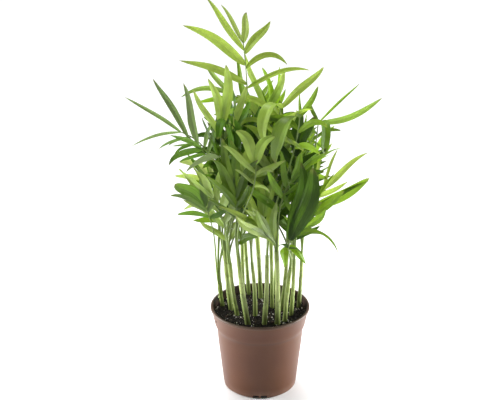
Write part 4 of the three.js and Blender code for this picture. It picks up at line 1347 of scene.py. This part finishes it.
# ---------------------------------------------------------------- soil
# What lies on the peat, each kind strewn by the crumb tree with these inputs, in millimetres: how
# many a square metre, and Sunk is how deep each lies in the peat.
STREWN = {
    "soil_crumbs": {
        "made_of": "crumb", "Number": 330000.0, "Clumping": 0.0, "Seed": 1, "Smallest": 0.7, "Largest": 1.8,
        "Shape": (1, 1, 0.75), "Tumble": 3.14, "Roughness": 1.2, "Sunk": 0.3, "Facets": 1,
    },
    "soil_lumps": {
        "made_of": "peat", "Number": 26000.0, "Clumping": 0.0, "Seed": 5, "Smallest": 1.4, "Largest": 3.0,
        "Shape": (1, 0.9, 0.6), "Tumble": 0.6, "Roughness": 2.2, "Sunk": 0.9, "Facets": 2,
    },
    "bark_bits": {
        "made_of": "bark", "Number": 26000.0, "Clumping": 0.8, "Seed": 9, "Smallest": 0.7, "Largest": 1.7,
        "Shape": (2.1, 0.75, 0.4), "Tumble": 0.5, "Roughness": 1.0, "Sunk": 0.0, "Facets": 1,
    },
    "soil_fibres": {
        "made_of": "fibre", "Number": 16000.0, "Clumping": 0.5, "Seed": 21, "Smallest": 0.5, "Largest": 1.2,
        "Shape": (5.5, 0.22, 0.22), "Tumble": 0.35, "Roughness": 1.2, "Sunk": -0.6, "Facets": 1,
    },
    "perlite_grains": {
        "made_of": "perlite", "Number": 30000.0, "Clumping": 1.0, "Seed": 14, "Smallest": 0.35,
        "Largest": 1.25, "Shape": (1, 0.9, 0.8), "Tumble": 3.14, "Roughness": 0.8, "Sunk": -0.6, "Facets": 2,
    },
    "perlite_dust": {
        "made_of": "perlite", "Number": 36000.0, "Clumping": 0.6, "Seed": 33, "Smallest": 0.2,
        "Largest": 0.5, "Shape": (1, 0.9, 0.8), "Tumble": 3.14, "Roughness": 0.3, "Sunk": -0.9, "Facets": 1,
    },
}
LENGTHS = ("Smallest", "Largest", "Roughness", "Sunk")


def soil_height(x, y, edge_radius):
    """The soil's uneven top: a low mound, drawn up a little round each stem, that dips to the wall."""
    swell = (math.sin(x * 0.13 + 1.7) * math.cos(y * 0.11 - 0.6)
             + 0.5 * math.sin(x * 0.31 - y * 0.27) + 0.35 * math.cos(x * 0.57 + y * 0.49 + 2.1))
    for seedling in SEEDLINGS:
        foot_x, foot_y = seedling["foot"]
        swell += 1.1 * math.exp(-((x - foot_x) ** 2 + (y - foot_y) ** 2) / 22)
    inside = min(1.0, max(0.0, (edge_radius - math.hypot(x, y)) / SOIL["dip"]))
    return SOIL["top"] + SOIL["relief"] * (0.45 * swell + 0.25) * inside - SOIL["crown"] * (1 - inside)


def soil_body():
    """The peat, a little clear of the pot's wall and floor. It also gives the height of its edge."""
    inner = POT["wall"] + SOIL["clear"]
    band = POT["height"] - POT["lip_depth"] - POT["band_foot"]
    slope = (POT["rim"] - 1.3 - POT["band_foot_radius"]) / band
    edge = SOIL["top"] - SOIL["crown"]
    edge_radius = POT["band_foot_radius"] + slope * (edge - POT["band_foot"]) - inner
    side = [
        (0, POT["floor"]),
        (POT["foot"] - inner - 1.4, POT["floor"]),
        (POT["foot"] - inner, POT["floor"] + 1),
        (POT["body_top_radius"] - inner, POT["body_top"] + 1),
        (POT["band_foot_radius"] - inner, POT["band_foot"]),
    ]
    profile = [(radius, height + SOIL["clear"]) for radius, height in side]
    profile += [(edge_radius, edge)]
    profile += [(edge_radius * (1 - i / SOIL["rings"]), SOIL["top"]) for i in range(1, SOIL["rings"] + 1)]
    soil = lathe("soil_body", profile, SOIL["sides"])
    for vertex in soil.data.vertices:
        x, y, z = (c / MM for c in vertex.co)
        if z > edge - 0.01:
            vertex.co.z = soil_height(x, y, edge_radius) * MM
    soil.data.shade_smooth()
    return soil, edge


def faces_above(mesh, height):
    """A copy of a mesh with only the faces whose corners all lie above a height."""
    top = mesh.copy()
    work = bmesh.new()
    work.from_mesh(top)
    low = [v for v in work.verts if v.co.z < height]
    bmesh.ops.delete(work, geom=low, context="VERTS")
    work.to_mesh(top)
    work.free()
    return top


def make_soil(materials, crumbs):
    """The body of peat and what lies on it: crumbs, bark, white perlite and stray fibres."""
    soil, edge = soil_body()
    soil.data.materials.append(materials["peat"])
    top = faces_above(soil.data, (edge - 0.5) * MM)
    for name, row in STREWN.items():
        values = {key: value * MM if key in LENGTHS else value for key, value in row.items()}
        values["Material"] = materials[values.pop("made_of")]
        seat(grow_mesh(name, top.copy(), crumbs, values))
    bpy.data.meshes.remove(top)
    return seat(soil, ["soil"])


# ---------------------------------------------------------------- guide lines
def stalk_line(points, widths, cut=0.0, turn=0.0, tint=1.0):
    """The guide line of a stalk, with what it carries at each point."""
    count = len(points)
    ahead = [(points[min(i + 1, count - 1)] - points[max(i - 1, 0)]).normalized() for i in range(count)]
    lengths = np.concatenate([[0], np.cumsum([(b - a).length for a, b in zip(points, points[1:])])])
    return {
        "points": points,
        "values": {
            "radius": [w * MM for w in widths],
            "along": [float(s / lengths[-1]) for s in lengths],
            "length": [float(s * MM) for s in lengths],
            "heading": ahead,
            "cut": [cut * MM] * count,
            "turn": [turn] * count,
            "tint": [tint] * count,
        },
    }


def blade_line(rib, half, tip_power, seed, **carried):
    """The guide line of a blade, from its midrib's places, headings and normals."""
    count = len(rib)
    places, ahead, normals = (list(column) for column in zip(*rib))
    power, root = BLADES["Root Power"], BLADE["root"]
    peak = (power - root * tip_power) / (power + tip_power)
    widest = (peak + root) ** power * (1 - peak) ** tip_power
    carried |= {"half_width": half / widest * MM, "tip_power": tip_power, "seed": seed}
    return {
        "points": places,
        "values": {
            "along": [i / (count - 1) for i in range(count)],
            "heading": ahead,
            "blade_normal": normals,
            **{key: [float(value)] * count for key, value in carried.items()},
        },
    }


# ---------------------------------------------------------------- stems
def stem_line(seedling, index):
    """A stem's middle line, with its radius, from just under the soil to its fork."""
    foot = Vector((*seedling["foot"], SOIL["top"] + GAP))
    fork = Vector(seedling["fork"])
    height = fork.z - foot.z
    tip = SHEATH[seedling["carries"] - 1]
    r = seedling["radius"]
    levels = [0, STEM["flare_height"] / height, STEM["waist_at"], 1 - STEM["sheath"] / height, 1]
    radii = [r * STEM["flare"], r * STEM["neck"], max(r * STEM["waist"], tip * 0.9), tip * 1.2, tip * 1.12]
    roll = dice(500 + index)
    bend = Vector((roll() - 0.5, roll() - 0.5, 0)) * STEM["bend"]
    knots = [0.22 + 0.2 * roll(), 0.5 + 0.2 * roll()]
    stout = STEM["stout"] + 0.14 * roll()
    points, widths = [foot - UP * STEM["sunk"]], []
    for i in range(STEM["steps"] + 1):
        t = i / STEM["steps"]
        points.append(foot.lerp(fork, t) + bend * math.sin(math.pi * t))
        ring = sum(math.exp(-((t - knot) * height / STEM["knot_length"]) ** 2) for knot in knots)
        widths.append(float(np.interp(t, levels, radii)) * stout + STEM["knot"] * ring)
    return points, [widths[0] * 1.1, *widths]


def foot_scale(seedling, roll):
    """A dry papery scale that stands off a stem's foot and bends away from it."""
    angle = roll() * 2 * math.pi
    out = Vector((math.cos(angle), math.sin(angle), 0))
    at = Vector((*seedling["foot"], SOIL["top"] - 1)) + out * seedling["radius"] * 1.15
    lean = least_and_more(SCALE["lean"], roll)
    d = (UP + out * lean).normalized()
    n = (out - d * out.dot(d)).normalized()
    hinge = d.cross(n).normalized()
    length = least_and_more(SCALE["length"], roll)
    half = least_and_more(SCALE["half"], roll)
    seed = roll()
    rib = [(at.copy(), d.copy(), n.copy())]
    for _ in range(SCALE["steps"]):
        at += d * (length / SCALE["steps"])
        d, n = (turned(v, hinge, SCALE["bend"] / SCALE["steps"]) for v in (d, n))
        rib.append((at.copy(), d.copy(), n.copy()))
    return blade_line(rib, half, SCALE["tip_power"], seed)


def make_stems(materials, stalks, blades):
    cores, wraps, scraps = [], [], []
    for k, seedling in enumerate(SEEDLINGS):
        points, widths = stem_line(seedling, k)
        roll = dice(700 + k)
        cores.append(stalk_line(points, widths, tint=0.68 + 0.4 * roll()))
        shares = [least_and_more(reach, roll) for reach in WRAPS["reach"]]
        for share, over in zip(shares, WRAPS["over"]):
            last = int(share * len(points))
            radii = [w + over for w in widths[:last]]
            cut, turn, tint = 10 + 12 * roll(), 6.28 * roll(), 0.72 + 0.4 * roll()
            wraps.append(stalk_line(points[:last], radii, cut, turn, tint))
        scraps += [foot_scale(seedling, roll) for _ in range(1 + k % 2)]
    nodes = [f"stem_{k + 1:02d}" for k in range(len(SEEDLINGS))]
    core = grow_mesh("stem_cores", guide_mesh("stem_lines", cores), stalks, {
        "Sides": 20, "Ridges": 7.0, "Ridge Depth": 0.05 * MM, "Swelling": 0.5 * MM,
        "Closed Ends": True, "Material": materials["stem"],
    })
    seat(core, nodes)
    wrap = grow_mesh("stem_sheaths", guide_mesh("sheath_lines", wraps), stalks, {
        "Sides": 20, "Ridges": 9.0, "Ridge Depth": 0.04 * MM, "Swelling": 0.5 * MM,
        "Closed Ends": False, "Material": materials["sheath"],
    })
    shell = wrap.modifiers.new("thickness", "SOLIDIFY")
    shell.thickness = WRAPS["thickness"] * MM
    shell.offset = -1
    kept_mesh(wrap)
    seat(wrap)
    scales = grow_mesh("foot_scales", guide_mesh("scale_lines", scraps), blades, {
        "Steps Along": 8, "Steps Across": 6, "Root Power": 0.25, "Fold": -0.5, "Pleats": 2.0,
        "Pleat Depth": 0.06, "Ripple": 0.3, "Material": materials["scale"],
    })
    seat(scales)


# ---------------------------------------------------------------- fronds
def petiole_line(frond):
    """A stalk and rib, from inside the seedling's sheath to the last pair of leaflets."""
    curve = frond["curve"]
    roll = dice(7000 + frond["index"])
    tip, foot = 0.56 + 0.14 * roll(), PETIOLE["base"] * (1.1 + 0.3 * roll())
    points = [curve.points[0] - curve.along * depth for depth in (14, 9, 4)]
    widths = [foot * share for share in (0.7, 0.9, 1.0)]
    for i in range(PETIOLE["steps"] + 1):
        t = i / PETIOLE["steps"]
        points.append(curve.at(t))
        widths.append(foot + (tip - foot) * t)
    # Painted light makes the top frond's rib lighter; the rest is each stalk's own tone.
    tint = (0.75 + 0.5 * roll()) * STALK_TONE_AND_PAINTED_LIGHT.get(frond["index"] + 1, STALK_TONE_AND_PAINTED_LIGHT["others"])
    return stalk_line(points, widths, tint=tint)


def leaflet_lines(frond):
    """The guide lines of a frond's leaflets, which also carry how light each green is, with painted light
    and shade, and its painted grey sheen.
    """
    roll = dice(9000 + frond["index"])
    number = frond["index"] + 1
    light = TONE_AND_PAINTED_LIGHT.get(number, TONE_AND_PAINTED_LIGHT["others" if "node" in frond else "inner"])
    bloom = PAINTED_SHEEN.get(number, 0.0)
    lines = []
    for leaf in frond["leaflets"]:
        seed = roll()
        tip_power = BLUNT.get(number, BLUNT["others"]) + 0.3 * seed
        # The tint is partly the leaf's own tone and partly painted light and shade; the sheen is a painted
        # grey highlight.
        tint = for_leaflet(light, leaf["side"], leaf["pair"]) * (0.76 + 0.46 * roll())
        sheen_share = for_leaflet(bloom, leaf["side"], leaf["pair"]) * 2 * roll()
        lines.append(blade_line(leaf["rib"], leaf["width"] / 2, tip_power, seed, tint=tint, bloom=sheen_share))
    return lines


def make_fronds(fronds, materials, stalks, blades):
    """The leaflets of each tone and shade as one piece, and all stalks and ribs as another."""
    for tone, (slot, shades) in enumerate(GREENS.items()):
        for shade in range(len(shades)):
            own = [f for f in fronds if f["tone"] == tone and f["index"] % len(shades) == shade]
            lines = [line for f in own for line in leaflet_lines(f)]
            name = f"leaflets_{slot.removeprefix('frond_')}_{shade + 1}"
            values = {**BLADES, "Material": materials[slot, shade]}
            piece = grow_mesh(name, guide_mesh(name + "_lines", lines), blades, values)
            seat(piece, [f["node"] for f in own if "node" in f])
    lines = [petiole_line(f) for f in fronds]
    petioles = grow_mesh("petioles", guide_mesh("petiole_lines", lines), stalks, {
        "Sides": 10, "Ridges": 3.0, "Ridge Depth": 0.04 * MM, "Swelling": 0.15 * MM,
        "Closed Ends": True, "Material": materials["petiole"],
    })
    seat(petioles)


# ---------------------------------------------------------------- camera, floor and lights
CAMERA = {"place": (-0.0124, -1.755, 1.031), "down": 24.0, "lens": 115.2, "sensor": 36, "far": 30}
OVERHEAD = {"place": (-0.2, 0.55, 1.6), "power": 3.2, "spread": 40}
SOFTBOXES = {  # place, what it faces, width and height, power
    "left": ((-1.2, 0.3, 0.45), (0, 0, 0.25), (0.7, 1.2), 14),
    "right": ((1.2, 0.3, 0.45), (0, 0, 0.25), (0.7, 1.2), 16),
    "low_left": ((-0.54, 0.03, 0.14), (0, 0, 0.05), (0.3, 0.3), 4.4),
    "low_right": ((0.55, 0.1, 0.14), (0, 0, 0.05), (0.3, 0.3), 5.1),
}
ROOM_LIGHT = 0.14


def aim(thing, place, target):
    thing.location = place
    thing.rotation_euler = (Vector(target) - Vector(place)).to_track_quat("-Z", "Y").to_euler()


def make_camera():
    lens = bpy.data.cameras.new("camera")
    lens.lens = CAMERA["lens"]
    lens.sensor_width = CAMERA["sensor"]
    lens.clip_end = CAMERA["far"]
    camera = new_object("camera", lens)
    camera.location = CAMERA["place"]
    camera.rotation_euler = (math.radians(90 - CAMERA["down"]), 0, 0)
    bpy.context.scene.camera = camera


def make_studio():
    """A pale floor, a pale room, one broad light overhead and four soft ones at the sides."""
    bpy.ops.mesh.primitive_plane_add(size=30)
    ground = bpy.context.object
    ground.name = "floor"
    ground.data.materials.append(floor_material())
    world = bpy.data.worlds.new("studio")
    bpy.context.scene.world = world
    world.use_nodes = True
    set_inputs(world.node_tree.nodes["Background"], Color=(1, 1, 1, 1), Strength=ROOM_LIGHT)
    sky = bpy.data.lights.new("overhead", "SUN")
    sky.energy = OVERHEAD["power"]
    sky.angle = math.radians(OVERHEAD["spread"])
    aim(new_object("overhead", sky), OVERHEAD["place"], (0, 0, 0))
    for name, (place, target, size, power) in SOFTBOXES.items():
        lamp = bpy.data.lights.new(name, "AREA")
        lamp.shape = "RECTANGLE"
        lamp.size, lamp.size_y = size
        lamp.energy = power
        aim(new_object(name, lamp), place, target)
    bpy.context.scene.view_settings.view_transform = "Standard"


# ---------------------------------------------------------------- everything
def main():
    materials = make_materials()
    blades, stalks, crumbs = blade_tree(), stalk_tree(), crumb_tree()
    fronds = grow_fronds()
    make_camera()
    make_pot(materials["plastic"], materials["stain_and_shade"])
    make_soil(materials, crumbs)
    make_stems(materials, stalks, blades)
    fronds += grow_inner_fronds(fronds)
    make_fronds(fronds, materials, stalks, blades)
    make_studio()
    print("fronds", len(fronds), "leaflets", sum(len(f["leaflets"]) for f in fronds))


main()
